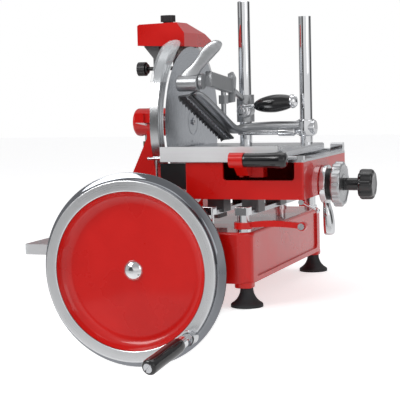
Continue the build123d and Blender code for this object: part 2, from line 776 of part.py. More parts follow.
stem_length = 16
with BuildPart() as cover_knob:
    with BuildSketch(level(cover_top + travel_gap, cover_knob_x, cover_knob_y)):
        Circle(cover_knob_radius - 5)
    extrude(amount=3)
    with BuildSketch(level(cover_top + 3, cover_knob_x, cover_knob_y)):
        Circle(cover_knob_radius)
        with PolarLocations(cover_knob_radius + 1, 14):
            Circle(1.6, mode=Mode.SUBTRACT)
    extrude(amount=cover_knob_height)
    fillet(cover_knob.faces().sort_by(Axis.Z)[-1].edges(), 1)
    with BuildSketch(level(cover_top - stem_length, cover_knob_x, cover_knob_y)):
        Circle(small_shaft_radius)
    extrude(amount=stem_length + 3)
save(cover_knob.part, "cover_knob")

bracket_top = cover_ceiling
with BuildPart() as sharpener_bracket:
    with BuildSketch(facing_front(side_knob_y + 10)):
        Polygon(
            (-112, bracket_top), (-118, bracket_top - 12), (-118, 486), (-99, 463), (-99, 430), (-84, 430),
            (-84, 463), (stand_plate_left_x, 470), (stand_plate_left_x, bracket_top), align=None,
        )
    extrude(amount=20)
    with BuildSketch(facing_right(-110, side_knob_y, side_knob_z)):
        Circle(plunger_radius + bearing_gap)
    extrude(amount=40, mode=Mode.SUBTRACT)
    with BuildSketch(facing_front(side_knob_y - 10, -92, 459)):
        Circle(4.5)
    extrude(amount=4)
save(sharpener_bracket.part, "sharpener_bracket")

knob_right_x = side_knob_left_x + side_knob_length
stone_face_x = -52
truing_stone_z = blade_z + math.sqrt((blade_radius - 5) ** 2 - (side_knob_y - drive_y) ** 2)
with BuildPart() as stone_plunger:
    with BuildSketch(facing_right(side_knob_left_x, side_knob_y, side_knob_z)):
        Circle(side_knob_radius)
        with PolarLocations(side_knob_radius + 1, 14):
            Circle(1.6, mode=Mode.SUBTRACT)
    extrude(amount=side_knob_length - 8)
    with BuildSketch(facing_right(knob_right_x - 8, side_knob_y, side_knob_z)):
        Circle(side_knob_radius - 4)
    extrude(amount=4)
    with BuildSketch(facing_right(knob_right_x - 4, side_knob_y, side_knob_z)):
        Circle(plunger_radius)
    extrude(amount=stone_face_x + 4 - knob_right_x)
    with BuildSketch(facing_right(stone_face_x - 6, side_knob_y)):
        with Locations((0, (side_knob_z + truing_stone_z) / 2)):
            SlotOverall(truing_stone_z - side_knob_z + 14, 14, rotation=90)
    extrude(amount=6)
save(stone_plunger.part, "stone_plunger")

with BuildPart() as truing_stone:
    with BuildSketch(facing_right(stone_face_x, side_knob_y, truing_stone_z)):
        Circle(9)
    extrude(amount=blade_left - 0.6 - stone_travel - stone_face_x)
save(truing_stone.part, "truing_stone")

stone_y = 12
stone_z = cover_ceiling - stone_radius - 14
with BuildPart() as stone_spindle:
    with BuildSketch(facing_right(stand_plate_right_x, stone_y, stone_z)):
        Circle(plunger_radius)
    extrude(amount=26)
with BuildPart() as grinding_stone:
    with BuildSketch(facing_right(stand_plate_right_x + 14, stone_y, stone_z)):
        Circle(stone_radius)
        Circle(plunger_radius + bearing_gap, mode=Mode.SUBTRACT)
    extrude(amount=12)
save(grinding_stone.part, "grinding_stone")

# ---------------------------------------------------------------- chain drive of the carriage
sprocket_z = base_top + sprocket_lift
chain_gap = sprocket_rear_y - sprocket_front_y
chain_middle_y = (sprocket_rear_y + sprocket_front_y) / 2
chain_inner = sprocket_radius + chain_slack + 0.6
sprocket_bevel = bevel_gear(sprocket_apex, (0, 0, 1), wheel_pitch_radius, wheel_pitch_radius, small_shaft_radius)
with BuildPart() as drive_sprocket:
    with BuildSketch(level(sprocket_z, wheel_x, sprocket_front_y)):
        Polygon(*toothed_outline(sprocket_radius, sprocket_radius - 2.5, sprocket_teeth), align=None)
    extrude(amount=sprocket_height)
    with BuildSketch(level(wheel_z + wheel_pitch_radius, wheel_x, sprocket_front_y)):
        Circle(small_shaft_radius)
    extrude(amount=sprocket_z - wheel_z - wheel_pitch_radius)
    add(sprocket_bevel)
save(drive_sprocket.part, "drive_sprocket")

with BuildPart() as idler_sprocket:
    with BuildSketch(level(sprocket_z, wheel_x, sprocket_rear_y)):
        Polygon(*toothed_outline(sprocket_radius, sprocket_radius - 2.5, sprocket_teeth), align=None)
        Circle(idler_pin_radius + bearing_gap, mode=Mode.SUBTRACT)
    extrude(amount=sprocket_height)
save(idler_sprocket.part, "idler_sprocket")

with BuildPart() as idler_pin:
    with BuildSketch(level(base_top, wheel_x, sprocket_rear_y)):
        Circle(idler_pin_radius)
    extrude(amount=sprocket_lift + sprocket_height)
    with BuildSketch(level(base_top, wheel_x, sprocket_rear_y)):
        Circle(idler_pin_radius + 4)
    extrude(amount=sprocket_lift - travel_gap)

chain_centre_radius = chain_inner + chain_width / 2
yoke_y = -95
yoke_bottom = 150
link_pitch = 11
with BuildPart() as drive_chain:
    with BuildSketch(level(sprocket_z + 0.6, wheel_x, chain_middle_y)):
        SlotCenterToCenter(chain_gap, 2 * (chain_inner + chain_width), rotation=90)
        SlotCenterToCenter(chain_gap, 2 * chain_inner, rotation=90, mode=Mode.SUBTRACT)
        with GridLocations(2 * chain_centre_radius, link_pitch, 2, int(chain_gap / link_pitch)):
            Circle(chain_roller_radius)
    extrude(amount=sprocket_height - 1.2)
    with BuildSketch(level(sprocket_z + 0.6, wheel_x + chain_centre_radius, yoke_y)):
        Circle(3)
    extrude(amount=yoke_bottom - travel_gap - sprocket_z - 0.6)
save(drive_chain.part, "drive_chain")

# ---------------------------------------------------------------- rails
rail_bottom = rail_top - rail_thickness
rail_end_y = post_y - post_cap_size / 2
with BuildPart() as rails:
    for rail_x in (rail_left_x, rail_right_x):
        with BuildSketch(level(rail_bottom, rail_x, 0)):
            Rectangle(rail_width, 2 * rail_end_y)
        extrude(amount=rail_thickness)
save(rails.part, "rails")

post_places = [(x, side * post_y) for x in (rail_left_x, rail_right_x) for side in (-1, 1)]
with BuildPart() as rail_posts:
    with BuildSketch(level(base_top)):
        with Locations(*post_places):
            Circle(post_radius)
    extrude(amount=rail_bottom + 2 - base_top)
    with BuildSketch(level(base_top)):
        with Locations(*post_places):
            Circle(post_radius + 3)
    extrude(amount=5)
    with BuildSketch(level(rail_bottom + 2)):
        with Locations(*post_places):
            RectangleRounded(post_cap_size, post_cap_size, 3)
    extrude(amount=post_cap_top - rail_bottom - 2)
    fillet(rail_posts.faces().group_by(Axis.Z)[-1].edges(), 1.5)
save(rail_posts.part, "rail_posts")

trip_arm_z = 150
trip_arm_y = -post_y
with BuildPart() as trip_arm:
    with BuildSketch(facing_front(trip_arm_y + 5)):
        with BuildLine():
            ThreePointArc((rail_right_x, trip_arm_z + 4), (205, trip_arm_z + 9.5), (trip_arm_end_x, trip_arm_z + 5))
            Line((trip_arm_end_x, trip_arm_z + 5), (trip_arm_end_x, trip_arm_z - 5))
            ThreePointArc((trip_arm_end_x, trip_arm_z - 5), (205, trip_arm_z - 1.5), (rail_right_x, trip_arm_z - 6))
            Line((rail_right_x, trip_arm_z - 6), (rail_right_x, trip_arm_z + 4))
        make_face()
    extrude(amount=10)
    with BuildSketch(level(trip_arm_z - 6, rail_right_x, trip_arm_y)):
        Circle(post_radius + 6)
    extrude(amount=12)
    with BuildSketch(facing_front(trip_arm_y + 7, trip_arm_end_x, trip_arm_z)):
        Circle(8)
    extrude(amount=14)
    with BuildSketch(level(trip_arm_z - 10, rail_right_x, trip_arm_y)):
        Circle(post_radius)
    extrude(amount=30, mode=Mode.SUBTRACT)
    with BuildSketch(facing_front(trip_arm_y + 20, trip_arm_end_x, trip_arm_z)):
        Circle(3)
    extrude(amount=40, mode=Mode.SUBTRACT)
save(trip_arm.part, "trip_arm")

with BuildPart() as fixed_fasteners:
    with BuildSketch(facing_front(trip_arm_y + 16, trip_arm_end_x, trip_arm_z)):
        Circle(3)
    extrude(amount=23)
    with BuildSketch(facing_front(trip_arm_y - 7, trip_arm_end_x, trip_arm_z)):
        Circle(6)
    extrude(amount=4)
    with BuildSketch(facing_front(trip_arm_y + 13, trip_arm_end_x, trip_arm_z)):
        RegularPolygon(6.5, 6)
    extrude(amount=6)
    add(idler_pin.part)
    add(stone_spindle.part)
save(fixed_fasteners.part, "fixed_fasteners")

# ---------------------------------------------------------------- receiving tray
tray_left_x = -342
tray_right_x = -base_width / 2 + panel_recess
tray_front_y = -165
tray_rear_y = 150
tray_bottom = 76
tray_top = 97
tray_wall = 2.5
tray_x = (tray_left_x + tray_right_x) / 2
tray_y = (tray_front_y + tray_rear_y) / 2
with BuildPart() as receiving_tray:
    with BuildSketch(level(tray_bottom, tray_x, tray_y)):
        RectangleRounded(tray_right_x - tray_left_x, tray_rear_y - tray_front_y, 8)
    extrude(amount=tray_top - tray_bottom)
    with BuildSketch(level(tray_bottom + tray_wall, tray_x, tray_y)):
        RectangleRounded(tray_right_x - tray_left_x - 2 * tray_wall, tray_rear_y - tray_front_y - 2 * tray_wall, 5.5)
    extrude(amount=tray_top - tray_bottom, mode=Mode.SUBTRACT)
    fillet(receiving_tray.faces().sort_by(Axis.Z)[0].edges(), 2)
save(receiving_tray.part, "receiving_tray")

# ---------------------------------------------------------------- carriage
box_width = box_right_x - box_left_x
box_length = box_rear_y - box_front_y
box_x = (box_left_x + box_right_x) / 2
box_y = (box_front_y + box_rear_y) / 2
screw_spigot_radius = feed_screw_radius - 2
lock_x = 238
lock_y = -152
lock_z = 187
with BuildPart() as carriage_box:
    with BuildSketch(level(box_bottom, box_x, box_y)):
        RectangleRounded(box_width, box_length, 3)
    extrude(amount=box_top - box_bottom)
    with BuildSketch(level(box_bottom + box_wall, box_x, box_y)):
        Rectangle(box_width - 2 * box_wall, box_length - 2 * box_wall)
    extrude(amount=box_top - box_bottom, mode=Mode.SUBTRACT)
    window_height = box_top - window_bottom
    with BuildSketch(facing_front(box_front_y + 2 * box_wall, (window_left_x + window_right_x) / 2, window_bottom)):
        with Locations((0, window_height / 2 + window_corner)):
            RectangleRounded(window_right_x - window_left_x, window_height + 2 * window_corner, window_corner)
    extrude(amount=3 * box_wall, mode=Mode.SUBTRACT)
    with BuildSketch(facing_right(box_left_x - 1, feed_y, feed_z)):
        Circle(screw_spigot_radius + bearing_gap)
    extrude(amount=2 * box_wall, mode=Mode.SUBTRACT)
    with BuildSketch(facing_right(box_right_x - box_wall - 1, feed_y, feed_z)):
        Circle(feed_screw_radius + bearing_gap)
    extrude(amount=2 * box_wall, mode=Mode.SUBTRACT)
    with BuildSketch(facing_front(lock_y, lock_x)):
        with Locations((0, lock_z + 1)):
            Rectangle(12, 2 * (box_bottom - lock_z))
    extrude(amount=8)
    with BuildSketch(facing_front(lock_y + 1, lock_x, lock_z)):
        Circle(2.5 + bearing_gap)
    extrude(amount=10, mode=Mode.SUBTRACT)
save(carriage_box.part, "carriage_box")

hatch_left_x = 95
hatch_right_x = 250
hatch_rear_y = -110
slot_left_x = 45
with BuildPart() as top_plate:
    with BuildSketch(level(box_top, box_x, box_y)):
        RectangleRounded(box_width, box_length, 3)
    extrude(amount=top_plate_thickness)
    with BuildSketch(level(box_top)):
        with Locations(((hatch_left_x + hatch_right_x) / 2, (box_front_y + box_wall + hatch_rear_y) / 2)):
            Rectangle(hatch_right_x - hatch_left_x, hatch_rear_y - box_front_y - box_wall)
        with Locations(((slot_left_x + hatch_right_x - 40) / 2, feed_y)):
            Rectangle(hatch_right_x - 40 - slot_left_x, 40)
    extrude(amount=top_plate_thickness, mode=Mode.SUBTRACT)
save(top_plate.part, "top_plate")

shoe_length = 40
shoe_half_width = rail_width / 2 + 5
shoe_places = [(x, y) for x in (rail_left_x, rail_right_x) for y in (-168, -25)]
with BuildPart() as slide_shoes:
    with BuildSketch(level(rail_top - 6)):
        with Locations(*shoe_places):
            Rectangle(2 * shoe_half_width, shoe_length)
    extrude(amount=box_bottom - rail_top + 6)
    with BuildSketch(level(rail_top - 6)):
        with Locations(*shoe_places):
            Rectangle(rail_width + 2 * seat_gap, shoe_length)
    extrude(amount=6 + seat_gap, mode=Mode.SUBTRACT)
save(slide_shoes.part, "slide_shoes")

yoke_left_x = -46
yoke_right_x = 60
with BuildPart() as chain_yoke:
    with BuildSketch(level(yoke_bottom)):
        with Locations(((yoke_left_x + yoke_right_x) / 2, yoke_y)):
            RectangleRounded(yoke_right_x - yoke_left_x, 20, 4)
    extrude(amount=6)
    with BuildSketch(level(yoke_bottom)):
        with Locations((yoke_right_x - 12, yoke_y)):
            RectangleRounded(24, 50, 4)
    extrude(amount=box_bottom - yoke_bottom)
save(chain_yoke.part, "chain_yoke")

with BuildPart() as carriage_shield:
    with BuildSketch(facing_front(box_front_y + 8)):
        with BuildLine():
            Polyline((box_left_x, box_bottom + 16), (shield_left_x + 8, box_bottom + 30), (shield_left_x, box_bottom + 42),
                     (shield_left_x, box_top - 2), (box_left_x, box_top - 2), (box_left_x, box_bottom + 16))
        make_face()
    extrude(amount=5)
    with BuildSketch(facing_front(box_front_y + 26)):
        with Locations((box_left_x - 2.5, (box_bottom + box_top) / 2 + 7)):
            Rectangle(5, 46)
    extrude(amount=19)
save(carriage_shield.part, "carriage_shield")

rod_base = box_top + top_plate_thickness
block_half = rod_block_size / 2
with BuildPart() as rods:
    with BuildSketch(facing_right(front_rod_left_x, front_rod_y, rod_z)):
        Circle(rod_radius)
    extrude(amount=box_right_x - front_rod_left_x)
    with BuildSketch(facing_right(box_left_x, rear_rod_y, rod_z)):
        Circle(rod_radius)
    extrude(amount=box_right_x - box_left_x)
with BuildPart() as guide_rods:
    with BuildSketch(level(rod_base)):
        with Locations((box_left_x + 11, front_rod_y + 1), (box_right_x - 6, front_rod_y + 1)):
            Rectangle(12, 12)
    extrude(amount=7.5)
    with BuildSketch(level(rod_base)):
        with Locations((box_left_x + 11, rear_rod_y), (box_right_x - 12.5, rear_rod_y)):
            Rectangle(25, rod_block_size)
    extrude(amount=17)
    fillet(guide_rods.edges().filter_by(Axis.X).group_by(Axis.Z)[-1], 5)
    add(rods.part)
save(guide_rods.part, "guide_rods")

# ---------------------------------------------------------------- dial and feed screw
wheel_start_x = box_right_x + drum_length
wheel_end_x = wheel_start_x + dial_thickness + 2 * travel_gap
drum_boss_radius = 12
screw_clear_radius = feed_screw_radius + seat_gap
with BuildPart() as dial_drum:
    with BuildSketch(facing_right(box_right_x, feed_y, feed_z)):
        Circle(drum_radius)
    extrude(amount=drum_length)
    with BuildSketch(facing_right(wheel_start_x, feed_y, feed_z)):
        Circle(drum_boss_radius)
    extrude(amount=wheel_end_x - wheel_start_x)
    with BuildSketch(facing_right(wheel_start_x - 7, feed_y, feed_z)):
        Circle(drum_radius + 1)
        Circle(drum_radius - 1, mode=Mode.SUBTRACT)
        with PolarLocations(drum_radius, 36):
            Rectangle(2.4, 1.2)
    extrude(amount=6, mode=Mode.SUBTRACT)
    with BuildSketch(facing_right(box_right_x, feed_y, feed_z)):
        Circle(screw_clear_radius)
    extrude(amount=wheel_end_x - box_right_x, mode=Mode.SUBTRACT)
save(dial_drum.part, "dial_drum")

with BuildPart() as dial_wheel:
    with BuildSketch(facing_right(wheel_start_x + travel_gap, feed_y, feed_z)):
        Circle(dial_radius)
        with PolarLocations(dial_radius + 5, dial_lobes):
            Circle(8, mode=Mode.SUBTRACT)
    extrude(amount=dial_thickness)
    fillet(dial_wheel.faces().sort_by(Axis.X)[-1].edges(), 1.2)
    with BuildSketch(facing_right(wheel_start_x, feed_y, feed_z)):
        Circle(drum_boss_radius + bearing_gap)
    extrude(amount=dial_thickness + 5, mode=Mode.SUBTRACT)
save(dial_wheel.part, "dial_wheel")

stem_start_x = wheel_end_x + travel_gap
thread_start_x = box_left_x + box_wall + 20
thread_end_x = box_right_x - box_wall - 20
thread_root = feed_screw_radius - thread_depth
thread_points = []
for turn in range(int((thread_end_x - thread_start_x) / feed_screw_pitch)):
    turn_x = thread_start_x + turn * feed_screw_pitch
    thread_points += [(turn_x, feed_screw_radius), (turn_x + 1.2, thread_root), (turn_x + 2.4, thread_root),
                      (turn_x + 3.6, feed_screw_radius)]
with BuildPart() as feed_screw:
    with BuildSketch(Plane(origin=(0, feed_y, feed_z))):
        Polygon(
            (box_left_x, 0), (box_left_x, screw_spigot_radius),
            (box_left_x + box_wall + travel_gap, screw_spigot_radius),
            (box_left_x + box_wall + travel_gap, feed_screw_radius),
            *thread_points,
            (knob_face_x - 8, feed_screw_radius), (knob_face_x - 8, 0), align=None,
        )
    revolve(axis=Axis((0, feed_y, feed_z), (1, 0, 0)))
save(feed_screw.part, "feed_screw")

with BuildPart() as feed_knob:
    with BuildSketch(facing_right(stem_start_x, feed_y, feed_z)):
        Circle(knob_stem_radius)
    extrude(amount=knob_face_x - knob_length - stem_start_x)
    with BuildSketch(facing_right(knob_face_x - knob_length, feed_y, feed_z)):
        Circle(knob_radius)
        with PolarLocations(knob_radius + 7, knob_lobes):
            Circle(9, mode=Mode.SUBTRACT)
    extrude(amount=knob_length)
    fillet(feed_knob.faces().sort_by(Axis.X)[-1].edges(), 3)
    with BuildSketch(facing_right(stem_start_x, feed_y, feed_z)):
        Circle(feed_screw_radius)
    extrude(amount=knob_face_x - 8 - stem_start_x, mode=Mode.SUBTRACT)
save(feed_knob.part, "feed_knob")

arm_x = box_right_x + 2
arm_tip_z = feed_z - feed_arm_length
with BuildPart() as feed_arm:
    with BuildSketch(facing_right(arm_x, feed_y, feed_z)):
        Circle(drum_radius + 7)
        with Locations((0, -(drum_radius + feed_arm_length) / 2)):
            RectangleRounded(feed_arm_width, feed_arm_length - drum_radius + 12, 6)
        Circle(drum_radius + bearing_gap, mode=Mode.SUBTRACT)
    extrude(amount=feed_arm_thickness)
save(feed_arm.part, "feed_arm")

lock_tip = (269, lock_y - 12, 171)
lock_start = (lock_x, lock_y - 12, lock_z)
with BuildPart() as lock_lever:
    with BuildSketch(facing_front(lock_y - 8 - travel_gap, lock_x, lock_z)):
        Circle(5)
    extrude(amount=8)
    with BuildSketch(facing_front(lock_y, lock_x, lock_z)):
        Circle(2.5)
    extrude(amount=12)
    with BuildSketch(Plane(origin=lock_start, x_dir=(0, 1, 0), z_dir=Vector(*lock_tip) - Vector(*lock_start))):
        Circle(2.5)
    extrude(amount=(Vector(*lock_tip) - Vector(*lock_start)).length)
    with Locations(lock_tip):
        Sphere(4.5)
save(lock_lever.part, "lock_lever")

# ---------------------------------------------------------------- meat table
plate_underside = table_surface - table_plate
lug_xs = (70, 160)
pivot_radius = 4
lug_left_x = 140
lug_width = 10
nut_x = 72
nut_length = 24
with BuildPart() as meat_table:
    with BuildSketch(level(plate_underside)):
        with Locations(((table_left_x + table_right_x) / 2, (table_front_y + table_rear_y) / 2)):
            Rectangle(table_right_x - table_left_x, table_rear_y - table_front_y)
    extrude(amount=table_plate)
    with BuildSketch(facing_right(table_left_x)):
        with Locations((table_rear_y - table_skirt / 2, (table_skirt_bottom + table_surface) / 2)):
            Rectangle(table_skirt, table_surface - table_skirt_bottom)
    extrude(amount=table_right_x - table_left_x)
    with BuildSketch(facing_front(table_rear_y)):
        with Locations((table_right_x - table_skirt / 2, (table_skirt_bottom + table_surface) / 2)):
            Rectangle(table_skirt, table_surface - table_skirt_bottom)
    extrude(amount=table_rear_y - front_rod_y - 12)
    fillet(meat_table.edges().filter_by(Axis.Y).group_by(Axis.Z)[-1].sort_by(Axis.X)[-1:], table_edge_radius - 1)
    with BuildSketch(level(rod_base + travel_gap)):
        with Locations(*[(x, y) for x in lug_xs for y in (front_rod_y, rear_rod_y)]):
            Rectangle(18, 11)
    extrude(amount=plate_underside - rod_base - travel_gap)
    with BuildSketch(level(rod_base + 9)):
        with Locations(*[(x, (rear_rod_y + table_rear_y) / 2) for x in lug_xs]):
            Rectangle(18, rear_rod_y - table_rear_y + 11)
    extrude(amount=plate_underside - rod_base - 9)
    for rod_y in (front_rod_y, rear_rod_y):
        with BuildSketch(facing_right(table_left_x, rod_y, rod_z)):
            Circle(rod_radius + bearing_gap)
        extrude(amount=table_right_x - table_left_x, mode=Mode.SUBTRACT)
    with BuildSketch(level(plate_underside)):
        with Locations((column_left_x, column_y), (column_right_x, column_y)):
            Circle(column_spigot_radius)
    extrude(amount=table_plate, mode=Mode.SUBTRACT)
    with BuildSketch(facing_right(lug_left_x)):
        Polygon((release_pivot_y - 8, release_pivot_z - 6), (release_pivot_y + 8, release_pivot_z - 6),
                (release_pivot_y + 12, plate_underside), (release_pivot_y - 8, plate_underside), align=None)
    extrude(amount=lug_width)
    with BuildSketch(facing_right(lug_left_x - 12, release_pivot_y, release_pivot_z)):
        Circle(pivot_radius)
    extrude(amount=42)
save(meat_table.part, "meat_table")

with BuildPart() as table_apron:
    with BuildSketch(facing_front(table_front_y)):
        Polygon((table_left_x, apron_bottom), (apron_right_x, apron_bottom), (apron_right_x, apron_top),
                (table_left_x, apron_top), align=None)
    extrude(amount=apron_thickness)
    with BuildSketch(facing_front(table_front_y)):
        with Locations((apron_right_x + 4, table_surface + 2)):
            RectangleRounded(8, 11, 1.5)
    extrude(amount=apron_thickness)
save(table_apron.part, "table_apron")

with BuildPart() as feed_nut:
    with BuildSketch(facing_right(nut_x - nut_length / 2, feed_y, feed_z)):
        Circle(feed_screw_radius + 4.5)
        with Locations((0, (plate_underside - feed_z) / 2)):
            Rectangle(14, plate_underside - feed_z)
    extrude(amount=nut_length)
    with BuildSketch(facing_right(nut_x - nut_length, feed_y, feed_z)):
        Circle(screw_clear_radius)
    extrude(amount=2 * nut_length, mode=Mode.SUBTRACT)
save(feed_nut.part, "feed_nut")

block_right_x = 178
with BuildPart() as release_lever:
    with BuildSketch(facing_right(collar_left_x + 4)):
        Polygon((release_pivot_y + 6, release_pivot_z - 8), (release_pivot_y - 26, release_pivot_z - 6),
                (grip_axis_y, grip_axis_z - 6), (grip_axis_y + 12, grip_axis_z + 2), (-224, grip_axis_z - 7),
                (release_pivot_y - 12, release_pivot_z + 12), (release_pivot_y + 6, release_pivot_z + 12), align=None)
    extrude(amount=table_grip_left_x - collar_left_x - 4)
    with BuildSketch(facing_right(collar_left_x + 4)):
        with Locations((release_pivot_y, release_pivot_z)):
            Rectangle(24, 20)
    extrude(amount=block_right_x - collar_left_x - 4)
    with BuildSketch(facing_right(collar_left_x, grip_axis_y, grip_axis_z)):
        Circle(table_grip_radius - 1)
    extrude(amount=table_grip_left_x - collar_left_x)
    with BuildSketch(facing_right(table_grip_left_x, grip_axis_y, grip_axis_z)):
        Circle(5)
    extrude(amount=table_grip_right_x - table_grip_left_x - 8)
    with BuildSketch(facing_right(lug_left_x - travel_gap)):
        with Locations((release_pivot_y + 2, release_pivot_z)):
            Rectangle(30, 60)
    extrude(amount=lug_width + 2 * travel_gap, mode=Mode.SUBTRACT)
    with BuildSketch(facing_right(lug_left_x - 40, release_pivot_y, release_pivot_z)):
        Circle(pivot_radius + bearing_gap)
    extrude(amount=120, mode=Mode.SUBTRACT)
save(release_lever.part, "release_lever")

with BuildPart() as table_grip:
    with BuildSketch(facing_right(table_grip_left_x, grip_axis_y, grip_axis_z)):
        Circle(table_grip_radius - 1.5)
    extrude(amount=table_grip_right_x - table_grip_left_x, taper=-1)
    fillet(table_grip.faces().sort_by(Axis.X)[-1].edges(), 4)
    with BuildSketch(facing_right(table_grip_left_x, grip_axis_y, grip_axis_z)):
        Circle(5)
    extrude(amount=table_grip_right_x - table_grip_left_x - 8, mode=Mode.SUBTRACT)
save(table_grip.part, "table_grip")

with BuildPart() as columns:
    for column_x, column_top in ((column_left_x, column_left_top), (column_right_x, column_right_top)):
        with BuildSketch(level(table_surface, column_x, column_y)):
            Circle(column_radius)
        extrude(amount=column_top - table_surface)
        with BuildSketch(level(table_skirt_bottom, column_x, column_y)):
            Circle(column_spigot_radius)
        extrude(amount=table_surface - table_skirt_bottom)
        with BuildSketch(level(plate_underside - 7, column_x, column_y)):
            RegularPolygon(11, 6)
        extrude(amount=7)
    chamfer(columns.faces().group_by(Axis.Z)[-1].edges(), 1.5)
save(columns.part, "columns")


def span(start, end):
    """Plane at start with its normal towards end and its local x near X, and the distance."""
    run = Vector(*end) - Vector(*start)
    direction = run.normalized()
    side = (Vector(1, 0, 0) - direction * direction.X).normalized()
    return Plane(origin=start, x_dir=side, z_dir=direction), run.length


# ---------------------------------------------------------------- meat press
column_bore = column_radius + bearing_gap
plate_high = (-3.6, lever_axis_y, 389)
plate_low = (34, 20, 299)
plate_width = 27
plate_thickness = 4
beam_depth = 12
beam_start = 22
strip_plane, strip_length = span(plate_high, plate_low)
hub_middle_z = (lower_hub_bottom + lower_hub_top) / 2
with BuildPart() as press_arm:
    with BuildSketch(level(lower_hub_bottom, column_right_x, column_y)):
        Circle(column_radius + 4)
    extrude(amount=lower_hub_top - lower_hub_bottom)
    with BuildSketch(facing_right(column_right_x - 22, column_y, hub_middle_z)):
        Circle(15)
    extrude(amount=42)
    with BuildSketch(level(hub_middle_z - 3)):
        Polygon((46, 22), (column_right_x, 24), (column_right_x, column_y + 3), (159, column_y + 3),
                (140, 43.5), (46, 43.5), align=None)
    extrude(amount=16)
    with BuildSketch(facing_right(58, 32, hub_middle_z - 7.5)):
        Circle(6)
    extrude(amount=column_right_x - 58)
    with BuildSketch(facing_right(138, 32, hub_middle_z - 7.5)):
        Circle(8.5)
    extrude(amount=32)
    with BuildSketch(strip_plane.offset(beam_start)):
        with Locations((18, -beam_depth / 2)):
            RectangleRounded(36, beam_depth, 2)
    extrude(amount=strip_length - beam_start + 12)
    with BuildSketch(level(lower_hub_bottom - 10, column_right_x, column_y)):
        Circle(column_bore)
    extrude(amount=60, mode=Mode.SUBTRACT)
save(press_arm.part, "press_arm")

tooth_side = Vector(*strip_plane.x_dir)
strip_direction = Vector(*strip_plane.z_dir)


def tooth_row(offset, width, pitch, height):
    """A row of teeth along the strip, offset from its middle, with their tips on the meat side."""
    origin = strip_plane.origin + tooth_side * offset
    count = int(strip_length / pitch)
    step = strip_length / count
    points = [(0, 0)]
    for tooth in range(count):
        points += [(tooth * step, -plate_thickness), ((tooth + 0.5) * step, -plate_thickness - height)]
    points += [(strip_length, -plate_thickness), (strip_length, 0)]
    with BuildPart() as row:
        with BuildSketch(Plane(origin=origin, x_dir=strip_direction, z_dir=tooth_side)):
            Polygon(*points, align=None)
        extrude(amount=width)
    return row.part


with BuildPart() as gripper_plate:
    with BuildSketch(strip_plane):
        with Locations((0, plate_thickness / 2)):
            Rectangle(plate_width, plate_thickness)
    extrude(amount=strip_length)
    add(tooth_row(-plate_width / 2, 4, 6, 6))
    add(tooth_row(plate_width / 2 - 6, 3, 6, 4))
save(gripper_plate.part, "gripper_plate")

boss_front_y = 34
with BuildPart() as upper_arm:
    with BuildSketch(level(upper_hub_bottom, column_left_x, column_y)):
        Circle(column_radius + hub_wall)
    extrude(amount=upper_hub_top - upper_hub_bottom)
    with BuildSketch(facing_front(column_y, clamp_axis_x, clamp_axis_z)):
        Circle(14)
    extrude(amount=column_y - boss_front_y)
    rod_plane, rod_length = span((54, -6, 396), (58, 44, 377))
    with BuildSketch(rod_plane):
        Circle(6)
    extrude(amount=rod_length)
    with BuildSketch(facing_front(2)):
        Polygon((46, 370), (57, 372), (60, 420), (54, 432), (46, 428), align=None)
    extrude(amount=12)
    beam_plane, beam_length = span((40, -108, 419), (50, -8, 404))
    with BuildSketch(beam_plane):
        RectangleRounded(13, 30, 3)
    extrude(amount=beam_length)
    with BuildSketch(facing_right(lever_hub_right_x + travel_gap, lever_axis_y + 6, lever_axis_z)):
        Circle(15)
    extrude(amount=7)
    with BuildSketch(facing_right(lever_hub_left_x + 5, lever_axis_y, lever_axis_z - 3)):
        Circle(5)
    extrude(amount=lever_hub_right_x - lever_hub_left_x)
    with BuildSketch(level(345, 43, -30)):
        Circle(5)
    extrude(amount=60)
    with BuildSketch(level(369, 43, -30)):
        RegularPolygon(10, 6)
    extrude(amount=17)
    add(press_arm.part, mode=Mode.SUBTRACT)
    with BuildSketch(level(upper_hub_bottom - 10, column_left_x, column_y)):
        Circle(column_bore)
    extrude(amount=100, mode=Mode.SUBTRACT)
save(upper_arm.part, "upper_arm")

lever_z = lever_axis_z - 3
with BuildPart() as hand_lever:
    with BuildSketch(facing_front(lever_axis_y + 5)):
        with BuildLine():
            Polyline((26, lever_z), (lever_hub_left_x + 2, lever_z), (-14, lever_z + 6))
            Spline((-14, lever_z + 6), (-8, lever_z + 21), (7.5, lever_z + 43), (25.6, lever_z + 65), (45, lever_z + 76),
                   (60, lever_z + 79), (73, lever_z + 73), (74, lever_z + 62), (60, lever_z + 47),
                   (38, lever_z + 33), (26, lever_z + 20), (26, lever_z))
        make_face()
    extrude(amount=10)
    fillet(hand_lever.edges().filter_by(lambda edge: edge.center().Z > lever_z + 15), 3)
    with BuildSketch(facing_right(lever_hub_left_x, lever_axis_y, lever_z)):
        Circle(lever_hub_radius - 1)
    extrude(amount=lever_hub_right_x - lever_hub_left_x)
    with BuildSketch(facing_right(lever_hub_left_x, lever_axis_y, lever_z)):
        Circle(5 + bearing_gap)
    extrude(amount=lever_hub_right_x - lever_hub_left_x, mode=Mode.SUBTRACT)
save(hand_lever.part, "hand_lever")

